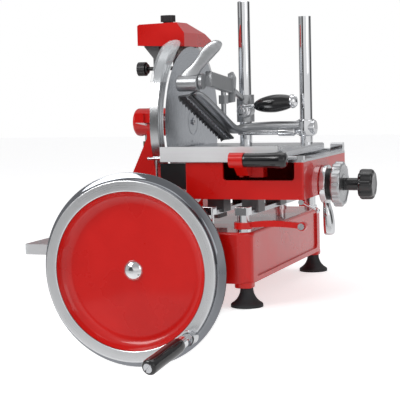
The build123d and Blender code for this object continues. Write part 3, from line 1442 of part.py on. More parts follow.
clamp_stem_start = (clamp_axis_x + 4, clamp_plane_y, clamp_axis_z + 7)
clamp_stem_end = (164, clamp_plane_y, 368)
clamp_hub_front_y = clamp_plane_y - 5
stem_plane, stem_run = span(clamp_stem_start, clamp_stem_end)
grip_half_length = 33
grip_middle = stem_run - 14 - grip_half_length
with BuildPart() as clamp_lever:
    with BuildSketch(facing_front(boss_front_y - travel_gap, clamp_axis_x, clamp_axis_z)):
        Circle(13)
    extrude(amount=boss_front_y - travel_gap - clamp_hub_front_y)
    with BuildSketch(Plane(origin=clamp_stem_start, x_dir=(0, 1, 0), z_dir=stem_plane.z_dir)):
        Circle(4.5)
    extrude(amount=stem_run)
    with BuildSketch(Plane(origin=clamp_stem_start, x_dir=stem_plane.z_dir, z_dir=(0, -1, 0))):
        with Locations((stem_run - 14, 0)):
            Ellipse(16, 13)
        with Locations((stem_run - 34, 0)):
            Rectangle(40, 40, mode=Mode.SUBTRACT)
        with Locations((stem_run, -20)):
            Rectangle(80, 40, mode=Mode.SUBTRACT)
    revolve(axis=Axis(clamp_stem_start, tuple(stem_plane.z_dir)))
save(clamp_lever.part, "clamp_lever")

with BuildPart() as clamp_grip:
    with BuildSketch(Plane(origin=clamp_stem_start, x_dir=stem_plane.z_dir, z_dir=(0, -1, 0))):
        with Locations((grip_middle, 0)):
            Ellipse(grip_half_length + 6, 18)
        with Locations((grip_middle, -20)):
            Rectangle(160, 40, mode=Mode.SUBTRACT)
        with Locations((grip_middle + 2 * grip_half_length, 20)):
            Rectangle(2 * grip_half_length, 50, mode=Mode.SUBTRACT)
        with Locations((grip_middle - 2 * grip_half_length, 20)):
            Rectangle(2 * grip_half_length, 50, mode=Mode.SUBTRACT)
        with Locations((grip_middle, 0)):
            Rectangle(160, 9, mode=Mode.SUBTRACT)
    revolve(axis=Axis(clamp_stem_start, tuple(stem_plane.z_dir)))
save(clamp_grip.part, "clamp_grip")
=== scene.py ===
import json
import math
import bmesh
import bpy
import numpy as np
from mathutils import Matrix, Vector


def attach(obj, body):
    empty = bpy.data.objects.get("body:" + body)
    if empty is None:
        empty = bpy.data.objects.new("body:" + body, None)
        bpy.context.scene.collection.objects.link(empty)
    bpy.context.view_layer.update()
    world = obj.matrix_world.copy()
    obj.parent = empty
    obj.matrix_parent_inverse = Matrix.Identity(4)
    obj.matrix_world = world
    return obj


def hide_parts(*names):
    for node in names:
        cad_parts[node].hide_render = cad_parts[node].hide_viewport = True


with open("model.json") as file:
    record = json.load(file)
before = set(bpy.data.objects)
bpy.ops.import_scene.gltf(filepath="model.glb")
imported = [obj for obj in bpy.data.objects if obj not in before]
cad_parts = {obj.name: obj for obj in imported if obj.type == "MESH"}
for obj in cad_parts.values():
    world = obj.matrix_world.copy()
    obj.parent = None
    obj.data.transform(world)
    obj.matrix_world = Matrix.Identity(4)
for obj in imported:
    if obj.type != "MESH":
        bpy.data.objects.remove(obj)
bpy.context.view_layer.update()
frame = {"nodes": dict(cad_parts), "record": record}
print("frame loaded")

# The frame is in metres: -Y is the operator's side, +X the meat table's side, +Z up, the feet stand on z = 0.
# Pieces are written in millimetres and turned into metres as their mesh is made.
metresPerMillimetre = 0.001
bladeCentre = (-30, -15, 334)
wheelCentre = (-55, -278, 68)
feedAxis = {"y": -79, "z": 214}


def metres(point):
    return tuple(value * metresPerMillimetre for value in point)


# Adds one node to a material or group, sets its settings, and links or sets each of its inputs.
def addNode(tree, kind, inputs=None, **settings):
    node = tree.nodes.new(kind)
    for name, value in settings.items():
        setattr(node, name, value)
    for key, value in (inputs or {}).items():
        if isinstance(value, bpy.types.NodeSocket):
            tree.links.new(value, node.inputs[key])
        else:
            node.inputs[key].default_value = value
    return node


# out = first (operation) second
def math2(tree, operation, first, second=0.0):
    return addNode(tree, "ShaderNodeMath", {0: first, 1: second}, operation=operation).outputs[0]


# out = low + (high - low) * clamp((value - start) / (end - start))
def mapRange(tree, value, start, end, low=0.0, high=1.0):
    inputs = {"Value": value, "From Min": start, "From Max": end, "To Min": low, "To Max": high}
    return addNode(tree, "ShaderNodeMapRange", inputs).outputs[0]


# out = low + (high - low) * factor, for colours
def mixColour(tree, factor, low, high):
    return addNode(tree, "ShaderNodeMix", {"Factor": factor, "A": low, "B": high}, data_type="RGBA").outputs["Result"]


def addNoise(tree, vector, scale, detail):
    return addNode(tree, "ShaderNodeTexNoise", {"Vector": vector, "Scale": scale, "Detail": detail}).outputs[0]


def newGroup(name, inputs, outputs):
    group = bpy.data.node_groups.new(name, "ShaderNodeTree")
    for label, kind, default in inputs:
        socket = group.interface.new_socket(name=label, in_out="INPUT", socket_type=kind)
        socket.default_value = default
    for label, kind in outputs:
        group.interface.new_socket(name=label, in_out="OUTPUT", socket_type=kind)
    return group, addNode(group, "NodeGroupInput"), addNode(group, "NodeGroupOutput")


# Noise stays near its middle, so each mask stretches this part of it over the whole range.
noiseMiddle = (0.35, 0.65)


# roughness = low + (high - low) * stretched(fine * share + smudge * (1 - share))
def wornRoughness(group, start, fine, place, share, smudgeScale):
    smudge = addNoise(group, place, smudgeScale, 4.0)
    mixed = math2(group, "ADD", math2(group, "MULTIPLY", fine, share), math2(group, "MULTIPLY", smudge, 1 - share))
    return mapRange(group, mixed, *noiseMiddle, start.outputs["Low"], start.outputs["High"])


roughnessInputs = [("Low", "NodeSocketFloat", 0.2), ("High", "NodeSocketFloat", 0.35)]
wornOutputs = [("Height", "NodeSocketFloat"), ("Roughness", "NodeSocketFloat")]


# Fine scratches: noise sampled on coordinates multiplied by Scale, which is small along the brushing.
def makeBrushGroup():
    inputs = [("Scale", "NodeSocketVector", (40, 900, 900))] + roughnessInputs
    group, start, end = newGroup("brushing", inputs, wornOutputs)
    place = addNode(group, "ShaderNodeTexCoord").outputs["Object"]
    stretch = {0: place, 1: start.outputs["Scale"]}
    stretched = addNode(group, "ShaderNodeVectorMath", stretch, operation="MULTIPLY").outputs[0]
    streaks = addNoise(group, stretched, 1.0, 3.0)
    rough = wornRoughness(group, start, streaks, place, 0.55, 14.0)
    group.links.new(streaks, end.inputs["Height"])
    group.links.new(rough, end.inputs["Roughness"])
    return group


# Turned marks round an axis through Centre: radius = length of (place - Centre) with the axis' part set to 0,
# and the marks are noise on radius * Pitch.
def makeTurningGroup(name, acrossAxis):
    inputs = [("Centre", "NodeSocketVector", (0, 0, 0)), ("Pitch", "NodeSocketFloat", 900.0)] + roughnessInputs
    group, start, end = newGroup(name, inputs, wornOutputs)
    place = addNode(group, "ShaderNodeTexCoord").outputs["Object"]
    shift = {0: place, 1: start.outputs["Centre"]}
    local = addNode(group, "ShaderNodeVectorMath", shift, operation="SUBTRACT").outputs[0]
    flattened = addNode(group, "ShaderNodeVectorMath", {0: local, 1: acrossAxis}, operation="MULTIPLY").outputs[0]
    radius = addNode(group, "ShaderNodeVectorMath", {0: flattened}, operation="LENGTH").outputs["Value"]
    turns = {"W": math2(group, "MULTIPLY", radius, start.outputs["Pitch"]), "Scale": 1.0, "Detail": 3.0}
    rings = addNode(group, "ShaderNodeTexNoise", turns, noise_dimensions="1D").outputs[0]
    rough = wornRoughness(group, start, rings, place, 0.6, 11.0)
    group.links.new(rings, end.inputs["Height"])
    group.links.new(rough, end.inputs["Roughness"])
    return group


# Paint, rubber and plastic: height = grain * Share + wave, mottle is slow unevenness, dust is sparse specks.
def makeSurfaceGroup():
    group, start, end = newGroup(
        "surface",
        [("Grain", "NodeSocketFloat", 700.0), ("Wave", "NodeSocketFloat", 22.0), ("Share", "NodeSocketFloat", 0.3)],
        [("Height", "NodeSocketFloat"), ("Mottle", "NodeSocketFloat"), ("Dust", "NodeSocketFloat")],
    )
    place = addNode(group, "ShaderNodeTexCoord").outputs["Object"]
    grain = addNoise(group, place, start.outputs["Grain"], 2.0)
    wave = addNoise(group, place, start.outputs["Wave"], 1.0)
    height = math2(group, "ADD", math2(group, "MULTIPLY", grain, start.outputs["Share"]), wave)
    mottle = addNoise(group, place, 9.0, 5.0)
    specks = addNoise(group, place, 260.0, 2.0)
    group.links.new(height, end.inputs["Height"])
    group.links.new(mapRange(group, mottle, *noiseMiddle), end.inputs["Mottle"])
    group.links.new(mapRange(group, specks, 0.62, 0.75), end.inputs["Dust"])
    return group


brushGroup = makeBrushGroup()
turnX = makeTurningGroup("turningAboutX", (0, 1, 1))
turnY = makeTurningGroup("turningAboutY", (1, 0, 1))
surfaceGroup = makeSurfaceGroup()


# A constant such as Coat_Weight is the shader's input "Coat Weight".
def newMaterial(name, **constants):
    material = bpy.data.materials.new(name)
    material.use_nodes = True
    tree = material.node_tree
    shader = tree.nodes["Principled BSDF"]
    for key, value in constants.items():
        shader.inputs[key.replace("_", " ")].default_value = value
    return material, tree, shader


def useGroup(tree, group, inputs):
    return addNode(tree, "ShaderNodeGroup", inputs, node_tree=group).outputs


fineBump = 0.0002


def bumpInto(tree, shader, height, strength, distance=fineBump):
    bump = addNode(tree, "ShaderNodeBump", {"Height": height, "Strength": strength, "Distance": distance})
    tree.links.new(bump.outputs[0], shader.inputs["Normal"])


# base colour = low + (high - low) * factor
def mottleColour(tree, shader, factor, low, high):
    tree.links.new(mixColour(tree, factor, (*low, 1), (*high, 1)), shader.inputs["Base Color"])


paint = {"low": (0.62, 0.0045, 0.0025), "high": (0.70, 0.006, 0.003), "roughLow": 0.24, "roughHigh": 0.36,
         "grain": 420.0, "wave": 16.0, "share": 0.05, "bump": 0.05, "height": 0.0004}


def paintMaterial(name):
    material, tree, shader = newMaterial(name, Coat_Weight=0.7, Coat_Roughness=0.03, Specular_IOR_Level=0.3)
    inputs = {"Grain": paint["grain"], "Wave": paint["wave"], "Share": paint["share"]}
    detail = useGroup(tree, surfaceGroup, inputs)
    mottleColour(tree, shader, detail["Mottle"], paint["low"], paint["high"])
    rough = mapRange(tree, detail["Mottle"], 0.0, 1.0, paint["roughLow"], paint["roughHigh"])
    tree.links.new(rough, shader.inputs["Roughness"])
    bumpInto(tree, shader, detail["Height"], paint["bump"], paint["height"])
    return material


# Bare metal: colour, roughness and bump all follow the marks that the group makes.
def metalMaterial(name, group, inputs, low, high, strength, metallic):
    material, tree, shader = newMaterial(name, Metallic=metallic)
    detail = useGroup(tree, group, inputs)
    mottleColour(tree, shader, detail["Height"], low, high)
    tree.links.new(detail["Roughness"], shader.inputs["Roughness"])
    bumpInto(tree, shader, detail["Height"], strength)
    return material


def brushedMaterial(name, low, high, scale, roughLow, roughHigh, strength, metallic=1.0):
    inputs = {"Scale": scale, "Low": roughLow, "High": roughHigh}
    return metalMaterial(name, brushGroup, inputs, low, high, strength, metallic)


# Parts turned about an axis along X, with the centre in millimetres.
def turnedMaterial(name, centre, low, high, pitch, roughLow, roughHigh, strength):
    inputs = {"Centre": metres(centre), "Pitch": pitch, "Low": roughLow, "High": roughHigh}
    return metalMaterial(name, turnX, inputs, low, high, strength, 1.0)


# roughness = range over the mottle + dust * dustRoughness
dustRoughness = 0.12


def mouldedMaterial(name, low, high, roughLow, roughHigh, grain, strength, **constants):
    material, tree, shader = newMaterial(name, **constants)
    detail = useGroup(tree, surfaceGroup, {"Grain": grain, "Wave": 30.0, "Share": 0.6})
    mottleColour(tree, shader, detail["Mottle"], low, high)
    rough = mapRange(tree, detail["Mottle"], 0.0, 1.0, roughLow, roughHigh)
    dusty = math2(tree, "ADD", rough, math2(tree, "MULTIPLY", detail["Dust"], dustRoughness))
    tree.links.new(dusty, shader.inputs["Roughness"])
    bumpInto(tree, shader, detail["Height"], strength)
    return material


redPaint = paintMaterial("redPaint")
chrome = brushedMaterial(
    "chrome", (0.78, 0.79, 0.81), (0.86, 0.87, 0.88), (30, 30, 30), 0.03, 0.08, strength=0.004)
castAluminium = brushedMaterial(
    "castAluminium", (0.42, 0.43, 0.44), (0.52, 0.53, 0.54), (120, 120, 120), 0.30, 0.40, strength=0.012)
tablePlate = brushedMaterial(
    "tablePlate", (0.60, 0.61, 0.63), (0.72, 0.73, 0.75), (30, 1100, 1100), 0.16, 0.30, strength=0.08)
polishedStrip = brushedMaterial(
    "polishedStrip", (0.84, 0.85, 0.86), (0.90, 0.91, 0.92), (18, 500, 500), 0.30, 0.42, strength=0.03, metallic=0.3)
steel = brushedMaterial("steel", (0.52, 0.53, 0.55), (0.66, 0.67, 0.69), (500, 40, 500), 0.18, 0.34, strength=0.08)
bronze = brushedMaterial(
    "bronze", (0.16, 0.12, 0.08), (0.24, 0.18, 0.11), (300, 300, 300), 0.22, 0.40, strength=0.1)
darkSteel = mouldedMaterial(
    "darkSteel", (0.13, 0.13, 0.135), (0.20, 0.20, 0.205), 0.34, 0.48, grain=600.0, strength=0.2, Metallic=0.85)
rubber = mouldedMaterial(
    "rubber", (0.018, 0.018, 0.02), (0.032, 0.032, 0.035), 0.50, 0.68, grain=1300.0, strength=0.35,
    Specular_IOR_Level=0.4)
blackGloss = mouldedMaterial(
    "blackGloss", (0.006, 0.006, 0.007), (0.011, 0.011, 0.012), 0.10, 0.18, grain=500.0, strength=0.06,
    Coat_Weight=0.5, Coat_Roughness=0.06)
blackMatte = mouldedMaterial(
    "blackMatte", (0.010, 0.010, 0.011), (0.018, 0.018, 0.020), 0.30, 0.42, grain=1100.0, strength=0.22)
stone = mouldedMaterial("stone", (0.20, 0.18, 0.16), (0.34, 0.31, 0.28), 0.80, 0.95, grain=2200.0, strength=0.9)
trayEnamel = mouldedMaterial(
    "trayEnamel", (0.62, 0.64, 0.65), (0.70, 0.72, 0.73), 0.22, 0.32, grain=500.0, strength=0.06,
    Coat_Weight=0.6, Coat_Roughness=0.08)
bladeSteel = turnedMaterial(
    "bladeSteel", bladeCentre, (0.50, 0.525, 0.56), (0.60, 0.625, 0.66), 1500.0, 0.20, 0.34, strength=0.06)
guardMetal = turnedMaterial(
    "guardMetal", bladeCentre, (0.62, 0.63, 0.64), (0.74, 0.75, 0.76), 1100.0, 0.18, 0.30, strength=0.1)
dialMetal = turnedMaterial(
    "dialMetal", (290, feedAxis["y"], feedAxis["z"]), (0.50, 0.51, 0.52), (0.62, 0.63, 0.64), 900.0, 0.22, 0.34,
    strength=0.03)
print("materials made")

# The wheel rim is satin on its front ring and polished behind it: polished goes from 0 to 1 between these two
# depths along Y, in metres. Behind the ring the colour also turns dark grey, which is a painted dark reflection.
rim = {"satinEnd": -0.2998, "polishStart": -0.2985, "polishedRoughness": 0.06, "polishedPaintedDarkReflection": (0.26, 0.27, 0.29, 1),
       "satinLow": (0.80, 0.81, 0.82, 1), "satinHigh": (0.90, 0.91, 0.92, 1)}


# roughness = satin roughness * (1 - polished) + polished roughness * polished
def rimMaterial():
    material, tree, shader = newMaterial("rim", Metallic=1.0)
    inputs = {"Centre": metres(wheelCentre), "Pitch": 1300.0, "Low": 0.26, "High": 0.40}
    detail = useGroup(tree, turnY, inputs)
    place = addNode(tree, "ShaderNodeTexCoord").outputs["Object"]
    depth = addNode(tree, "ShaderNodeSeparateXYZ", {0: place}).outputs["Y"]
    polishedAndPaintedDark = mapRange(tree, depth, rim["satinEnd"], rim["polishStart"])
    satin = mixColour(tree, detail["Height"], rim["satinLow"], rim["satinHigh"])
    # Behind the front ring the colour goes to dark grey: a painted dark reflection on the polished band, not the
    # metal's own colour
    tree.links.new(mixColour(tree, polishedAndPaintedDark, satin, rim["polishedPaintedDarkReflection"]), shader.inputs["Base Color"])
    inverse = math2(tree, "SUBTRACT", 1.0, polishedAndPaintedDark)
    satinPart = math2(tree, "MULTIPLY", detail["Roughness"], inverse)
    polishedPart = math2(tree, "MULTIPLY", polishedAndPaintedDark, rim["polishedRoughness"])
    tree.links.new(math2(tree, "ADD", satinPart, polishedPart), shader.inputs["Roughness"])
    bumpInto(tree, shader, detail["Height"], 0.06)
    return material


clearSheet = {"low": (0.72, 0.76, 0.78), "high": (0.84, 0.87, 0.89), "scratches": (500.0, 60.0, 60.0),
              "slantStart": 0.15, "alphaFacing": 0.12, "alphaEdge": 0.67}


# alpha goes from alphaFacing to alphaEdge as the sheet turns away from the viewer
def clearMaterial():
    material, tree, shader = newMaterial("clearSheet", Metallic=0.0)
    detail = useGroup(tree, brushGroup, {"Scale": clearSheet["scratches"], "Low": 0.03, "High": 0.12})
    mottleColour(tree, shader, detail["Height"], clearSheet["low"], clearSheet["high"])
    tree.links.new(detail["Roughness"], shader.inputs["Roughness"])
    slant = addNode(tree, "ShaderNodeLayerWeight", {"Blend": 0.35}).outputs["Facing"]
    alpha = mapRange(tree, slant, clearSheet["slantStart"], 1.0, clearSheet["alphaFacing"], clearSheet["alphaEdge"])
    tree.links.new(alpha, shader.inputs["Alpha"])
    bumpInto(tree, shader, detail["Height"], 0.03)
    return material


# Each node takes the finish of its material slot, apart from those with a finish of their own.
finishes = {
    "red_paint": redPaint, "chrome": chrome, "satin_aluminium": castAluminium, "steel": steel,
    "dark_steel": darkSteel, "bronze": bronze, "rubber": rubber, "black_gloss": blackGloss,
    "black_matte": blackMatte, "stone": stone, "tray_enamel": trayEnamel, "clear_plastic": clearMaterial(),
}
special = {
    "flywheel_rim": rimMaterial(), "blade": bladeSteel, "slide_shoes": darkSteel, "blade_guard": guardMetal,
    "dial_wheel": dialMetal, "meat_table": tablePlate, "top_plate": tablePlate, "table_apron": polishedStrip,
}
slotOfNode = {entry["node"]: entry["material_slot"] for entry in frame["record"]["subparts"]}
for name, node in frame["nodes"].items():
    finish = special.get(name, finishes[slotOfNode[name]])
    for slot in node.material_slots:
        slot.material = finish
print("frame painted")


# Each corner of a profile (radius, along, set back) becomes a quadratic arc between points set back from it:
# point = (1 - s)^2 * start + 2 s (1 - s) * corner + s^2 * end. A set back of 0 leaves the corner sharp.
def roundProfile(profile, steps=5, mostOfSide=0.49):
    points = []
    count = len(profile)
    for index, (radius, along, setBack) in enumerate(profile):
        corner = np.array((radius, along))
        if not setBack or index in (0, count - 1):
            points.append(corner)
            continue
        before = np.array(profile[index - 1][:2]) - corner
        after = np.array(profile[index + 1][:2]) - corner
        start = corner + before * min(setBack / np.linalg.norm(before), mostOfSide)
        end = corner + after * min(setBack / np.linalg.norm(after), mostOfSide)
        share = np.linspace(0, 1, steps + 1)[:, None]
        points += list((1 - share) ** 2 * start + 2 * share * (1 - share) * corner + share ** 2 * end)
    return np.array(points)


# Closed skin over a grid of points in millimetres: rows go round and meet, columns run along.
def meshFromGrid(name, grid, material):
    rows, columns = grid.shape[:2]
    row, column = np.meshgrid(np.arange(rows), np.arange(columns - 1), indexing="ij")
    below = (row + 1) % rows
    corners = (row * columns + column, below * columns + column,
               below * columns + column + 1, row * columns + column + 1)
    quads = np.stack(corners, axis=-1).reshape(-1, 4)
    mesh = bpy.data.meshes.new(name)
    mesh.from_pydata((grid * metresPerMillimetre).reshape(-1, 3).tolist(), [], quads.tolist())
    shape = bmesh.new()
    shape.from_mesh(mesh)
    bmesh.ops.remove_doubles(shape, verts=shape.verts, dist=1e-6)
    bmesh.ops.recalc_face_normals(shape, faces=shape.faces)
    shape.to_mesh(mesh)
    shape.free()
    mesh.shade_smooth()
    mesh.set_sharp_from_angle(angle=math.radians(38))
    mesh.materials.append(material)
    piece = bpy.data.objects.new(name, mesh)
    bpy.context.collection.objects.link(piece)
    return piece


# The piece rides its body and takes the place of its node if it has one.
def fitPiece(piece, spec):
    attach(piece, spec["body"])
    if "node" in spec:
        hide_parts(spec["node"])


# point(t, s) = base + along(s) * axis + radius(s) * lobe(t, s) * (cos t * across + sin t * above).
# lobe = 1 - depth * share of the radius beyond inner * (0.5 - 0.5 cos(count * t))^1.6
def turnedPiece(name, spec, material):
    profile = roundProfile([(*point, 0)[:3] for point in spec["profile"]])
    axis = Vector(spec["axis"]).normalized()
    across = axis.orthogonal().normalized()
    above = axis.cross(across)
    turns = np.linspace(0, 2 * math.pi, spec.get("segments", 96), endpoint=False)[:, None]
    radius, along = profile[:, 0][None, :], profile[:, 1][None, :]
    lobe = np.ones_like(turns * radius)
    if "lobes" in spec:
        count, depth, inner = spec["lobes"]
        share = np.clip((radius - inner) / (radius.max() - inner), 0, 1)
        lobe = 1 - depth * share * (0.5 - 0.5 * np.cos(turns * count)) ** 1.6
    ring = np.cos(turns)[..., None] * np.array(across) + np.sin(turns)[..., None] * np.array(above)
    base = np.array(spec["base"])
    grid = base + along[..., None] * np.array(axis) + (radius * lobe)[..., None] * ring
    fitPiece(meshFromGrid(name, grid, material), spec)


# Skin over rings of points, with both ends drawn in to their middle.
def loftPiece(name, rings, spec, material):
    first, last = rings[:1].mean(axis=1, keepdims=True), rings[-1:].mean(axis=1, keepdims=True)
    ends = [np.broadcast_to(middle, rings[:1].shape) for middle in (first, last)]
    grid = np.concatenate((ends[0], rings, ends[1])).transpose(1, 0, 2)
    fitPiece(meshFromGrid(name, grid, material), spec)


# ring(s, t) = centre(s) + width(s) * signed power of cos t * side + depth(s) * signed power of sin t * above.
# Stations are x, y, z, half width, half depth; all five run on a Catmull-Rom curve through the stations.
def sweptPiece(name, spec, material):
    stations = np.array(spec["stations"], float)
    count = len(stations)
    firstGuide, lastGuide = 2 * stations[:1] - stations[1:2], 2 * stations[-1:] - stations[-2:-1]
    guides = np.concatenate((firstGuide, stations, lastGuide))
    share = np.linspace(0, count - 1, (count - 1) * spec.get("steps", 6) + 1)
    index = np.minimum(share.astype(int), count - 2)
    step = (share - index)[:, None]
    before, start, end, after = (guides[index + offset] for offset in range(4))
    smooth = 0.5 * (2 * start + (end - before) * step + (2 * before - 5 * start + 4 * end - after) * step ** 2
                    + (3 * start - before - 3 * end + after) * step ** 3)
    centre, sizes = smooth[:, :3], np.maximum(smooth[:, 3:], 0)
    tangent = np.gradient(centre, axis=0)
    tangent /= np.linalg.norm(tangent, axis=1, keepdims=True)
    above = np.array(spec["above"], float)
    above = above - tangent * (tangent @ above)[:, None]
    above /= np.linalg.norm(above, axis=1, keepdims=True)
    side = np.cross(above, tangent)
    turns = np.linspace(0, 2 * math.pi, 32, endpoint=False)
    wide, deep = (np.sign(wave) * np.abs(wave) ** spec["power"] for wave in (np.cos(turns), np.sin(turns)))
    rings = (centre[:, None] + (sizes[:, :1] * wide)[..., None] * side[:, None]
             + (sizes[:, 1:] * deep)[..., None] * above[:, None])
    loftPiece(name, rings, spec, material)


# Wheel, turned about its shaft, so that along is the world's Y.
wheel = {"base": (wheelCentre[0], 0, wheelCentre[2]), "axis": (0, 1, 0), "body": "flywheel", "segments": 192}
wheelPieces = {
    "wheelDish": {"node": "flywheel_disc", "slot": "red_paint", "material": redPaint, "profile": [
        (10, -278), (134, -278, 10), (143.5, -287, 5), (147.9, -298), (147.9, -272, 1.5), (30, -272, 4),
        (30, -260.4, 1), (10, -260.4), (10, -278)]},
    "wheelRim": {"node": "flywheel_rim", "slot": "chrome", "material": special["flywheel_rim"], "profile": [
        (148, -297.5), (148.6, -299.3, 0.5), (150, -300, 0.6), (168, -300, 1.2), (170, -298, 1), (169.6, -293, 5),
        (167.6, -287.5, 6), (170.5, -281.5, 5), (179, -278, 3), (182, -277.2, 0.9), (182, -273, 0.9),
        (154, -273, 2), (148, -279), (148, -297.5)]},
    "wheelCap": {"node": "wheel_cap", "slot": "chrome", "material": chrome, "profile": [
        (0, -288), (6.5, -287.6, 2), (14, -284.8, 4), (18, -281, 3), (19, -278, 0.6), (0, -278)]},
}
for name, spec in wheelPieces.items():
    turnedPiece(name, {**wheel, **spec}, spec["material"])

# Grips and knobs: along is measured from the base.
feedBase = {"base": (0, feedAxis["y"], feedAxis["z"]), "axis": (1, 0, 0)}
gripPieces = {
    "crankGrip": {
        "node": "crank_grip", "slot": "black_gloss", "body": "crank_handle", "material": blackGloss,
        "base": (65.412, -317, -46.267), "axis": (-0.2298, -0.9426, -0.2421), "profile": [
            (5.1, 28.4), (12.6, 28.4, 0.8), (13.2, 31, 1), (14.6, 37, 4), (14.9, 60, 20), (14.2, 90, 20),
            (15, 118, 6), (14.6, 125.5, 2), (12, 128.4, 2), (9.5, 128.4, 0.6), (9.5, 122.5), (5.1, 122.5),
            (5.1, 28.4)]},
    "tableGrip": {
        "node": "table_grip", "slot": "black_gloss", "body": "release", "material": blackGloss,
        "base": (155, -245, 270), "axis": (1, 0, 0), "profile": [
            (5, 0), (12.6, 0, 1.2), (13.1, 3, 1), (13, 20, 10), (13.6, 50, 14), (14.9, 66, 6), (14.9, 73, 5),
            (12.4, 79.4, 4), (7, 81, 3), (0, 81)]},
    "feedKnob": {
        "node": "feed_knob", "slot": "black_gloss", "body": "screw", "material": blackGloss, **feedBase,
        "segments": 192, "lobes": (8, 0.12, 18), "profile": [
            (7, 299.3), (12, 299.3), (12, 328, 2), (26, 329, 2), (29, 332.5, 3), (28.6, 352, 3),
            (25.5, 356.2, 2.5), (20, 357, 2), (14, 356, 2), (0, 356)]},
    "dialWheel": {
        "node": "dial_wheel", "slot": "satin_aluminium", "body": "dial", "material": dialMetal, **feedBase,
        "segments": 240, "lobes": (10, 0.085, 30), "profile": [
            (12.1, 280.4), (41, 280.4, 1), (43, 282.4, 1), (43, 296, 1.6), (40.8, 298.4, 1.6), (36, 298.4, 1),
            (33, 297, 1), (20, 297, 1), (18, 298.2, 0.6), (12.1, 298.2), (12.1, 280.4)]},
}
for name, spec in gripPieces.items():
    turnedPiece(name, spec, spec["material"])
print("wheel, grips and knobs turned")

# Press lever: a paddle that narrows over its hub and bends away from it.
paddle = {
    "node": "hand_lever", "slot": "satin_aluminium", "body": "press_handle", "above": (0, 1, 0), "power": 0.75,
    "stations": [
        (6, -125, 404, 21, 5), (6.5, -125, 414, 20.5, 7), (7.5, -124.5, 421, 19, 7), (11, -123.5, 428, 15.5, 6.5),
        (17, -122.5, 435.5, 12.6, 6), (24, -122, 444, 11.4, 5.5), (32, -122, 453, 11.8, 5),
        (43, -122, 466, 13.6, 5), (53, -122, 475, 13.2, 5), (62, -122, 481, 11.5, 4.5), (68.5, -122, 484, 8.5, 4),
        (73, -122, 485.5, 4, 2.5), (74.2, -122, 486, 0.6, 0.6)]}
paddleHub = {
    "slot": "satin_aluminium", "body": "press_handle", "base": (-16, -125, 411), "axis": (1, 0, 0), "profile": [
        (5.1, 0.2), (14, 0.2, 1.5), (15.6, 2, 2), (15.8, 38, 3), (15.8, 42.6, 1), (5.1, 42.6), (5.1, 0.2)]}
sweptPiece("handPaddle", paddle, castAluminium)
turnedPiece("leverHub", paddleHub, castAluminium)

# Clamp handle: a black egg-shaped grip on a bright lever that shows at its end, and the lever's hub.
clampLine = {"body": "clamp", "base": (70, 22, 360.5), "axis": (1, 0, 0.10)}
clampEgg = {"node": "clamp_grip", "slot": "black_gloss", "profile": [
    (0, 20), (5.5, 20.3, 2), (9.5, 25, 6), (14.2, 36, 12), (17.4, 54, 16), (17.9, 68, 16), (15.6, 86, 10),
    (12.6, 95, 4), (11, 98), (0, 98)]}
clampEnd = {"node": "clamp_lever", "slot": "chrome", "profile": [
    (0, -4), (4.5, -4), (4.5, 20, 1), (5, 97), (12.9, 97, 0.5), (14.5, 99.5, 2.5), (13, 105, 4), (8, 110, 4),
    (0, 111.5)]}
clampHub = {"slot": "chrome", "body": "clamp", "base": (66, 0, 353), "axis": (0, 1, 0), "profile": [
    (0, 16.4), (4.5, 16.4, 1), (5.5, 17.6), (11.5, 17.6, 1.5), (13, 19.4, 1), (13, 33.4, 0.8), (0, 33.4)]}
turnedPiece("clampEgg", {**clampLine, **clampEgg}, blackGloss)
turnedPiece("clampEnd", {**clampLine, **clampEnd}, chrome)
turnedPiece("clampHub", clampHub, chrome)

# Gripper plate in the strip's own directions: along it, across it, and out of its face.
strip = {"start": (-3.6, -125, 389), "along": (0.2152, 0.8298, -0.5150), "across": (0.9766, -0.1829, 0.1135),
         "out": (0, -0.5274, -0.8497), "length": 174.7, "halfWidth": 13.5, "thickness": 4, "bevel": 0.6,
         "body": "press", "slot": "dark_steel"}
teeth = {"pitch": 10.3, "endGap": 0.6, "root": 3.4, "tipWidth": 0.25}
toothRows = {
    "edgeTeeth": {"across": -11.6, "width": 3.8, "low": 4.2, "high": 11.0, "material": darkSteel},
    "middleTeeth": {"across": 6.0, "width": 3.0, "low": 4.2, "high": 8.6, "material": steel},
}


# point = start + distance * along + across * across direction + out * out direction
def stripPoints(distance, across, out):
    directions = [np.array(strip[key]) for key in ("along", "across", "out")]
    values = (distance, across, out)
    parts = [np.asarray(value)[..., None] * direction for value, direction in zip(values, directions)]
    return np.array(strip["start"]) + sum(parts)


# Four-sided rings along the strip: the outer edge is high and narrow at every second ring, low between them.
def toothRow(name, row):
    count = 2 * int(strip["length"] / teeth["pitch"]) + 1
    distance = np.linspace(teeth["endGap"], strip["length"] - teeth["endGap"], count)[:, None]
    atTip = (np.arange(count) % 2 == 1)[:, None]
    height = np.where(atTip, row["high"], row["low"])
    narrow = np.where(atTip, teeth["tipWidth"], 1.0)
    half = row["width"] / 2
    root = np.full_like(height, teeth["root"])
    outs = np.concatenate((root, root, height, height), axis=1)
    sides = np.concatenate((np.full_like(height, -half), np.full_like(height, half), half * narrow, -half * narrow),
                           axis=1)
    points = stripPoints(distance + 0 * outs, row["across"] + sides, outs)
    loftPiece(name, points, {"slot": strip["slot"], "body": strip["body"]}, row["material"])


# Eight-sided rings: a rectangle with its four long edges bevelled.
def makeGripperPlate():
    distance = np.linspace(0, strip["length"], 24)[:, None]
    half, flat = strip["halfWidth"], strip["halfWidth"] - strip["bevel"]
    thick, bevel = strip["thickness"], strip["bevel"]
    across = np.array([-half, -flat, flat, half, half, flat, -flat, -half])[None, :] + 0 * distance
    out = np.array([bevel, 0, 0, bevel, thick - bevel, thick, thick, thick - bevel])[None, :] + 0 * distance
    spec = {"node": "gripper_plate", "slot": strip["slot"], "body": strip["body"]}
    loftPiece("gripperPlate", stripPoints(distance + 0 * out, across, out), spec, darkSteel)


makeGripperPlate()
for name, row in toothRows.items():
    toothRow(name, row)

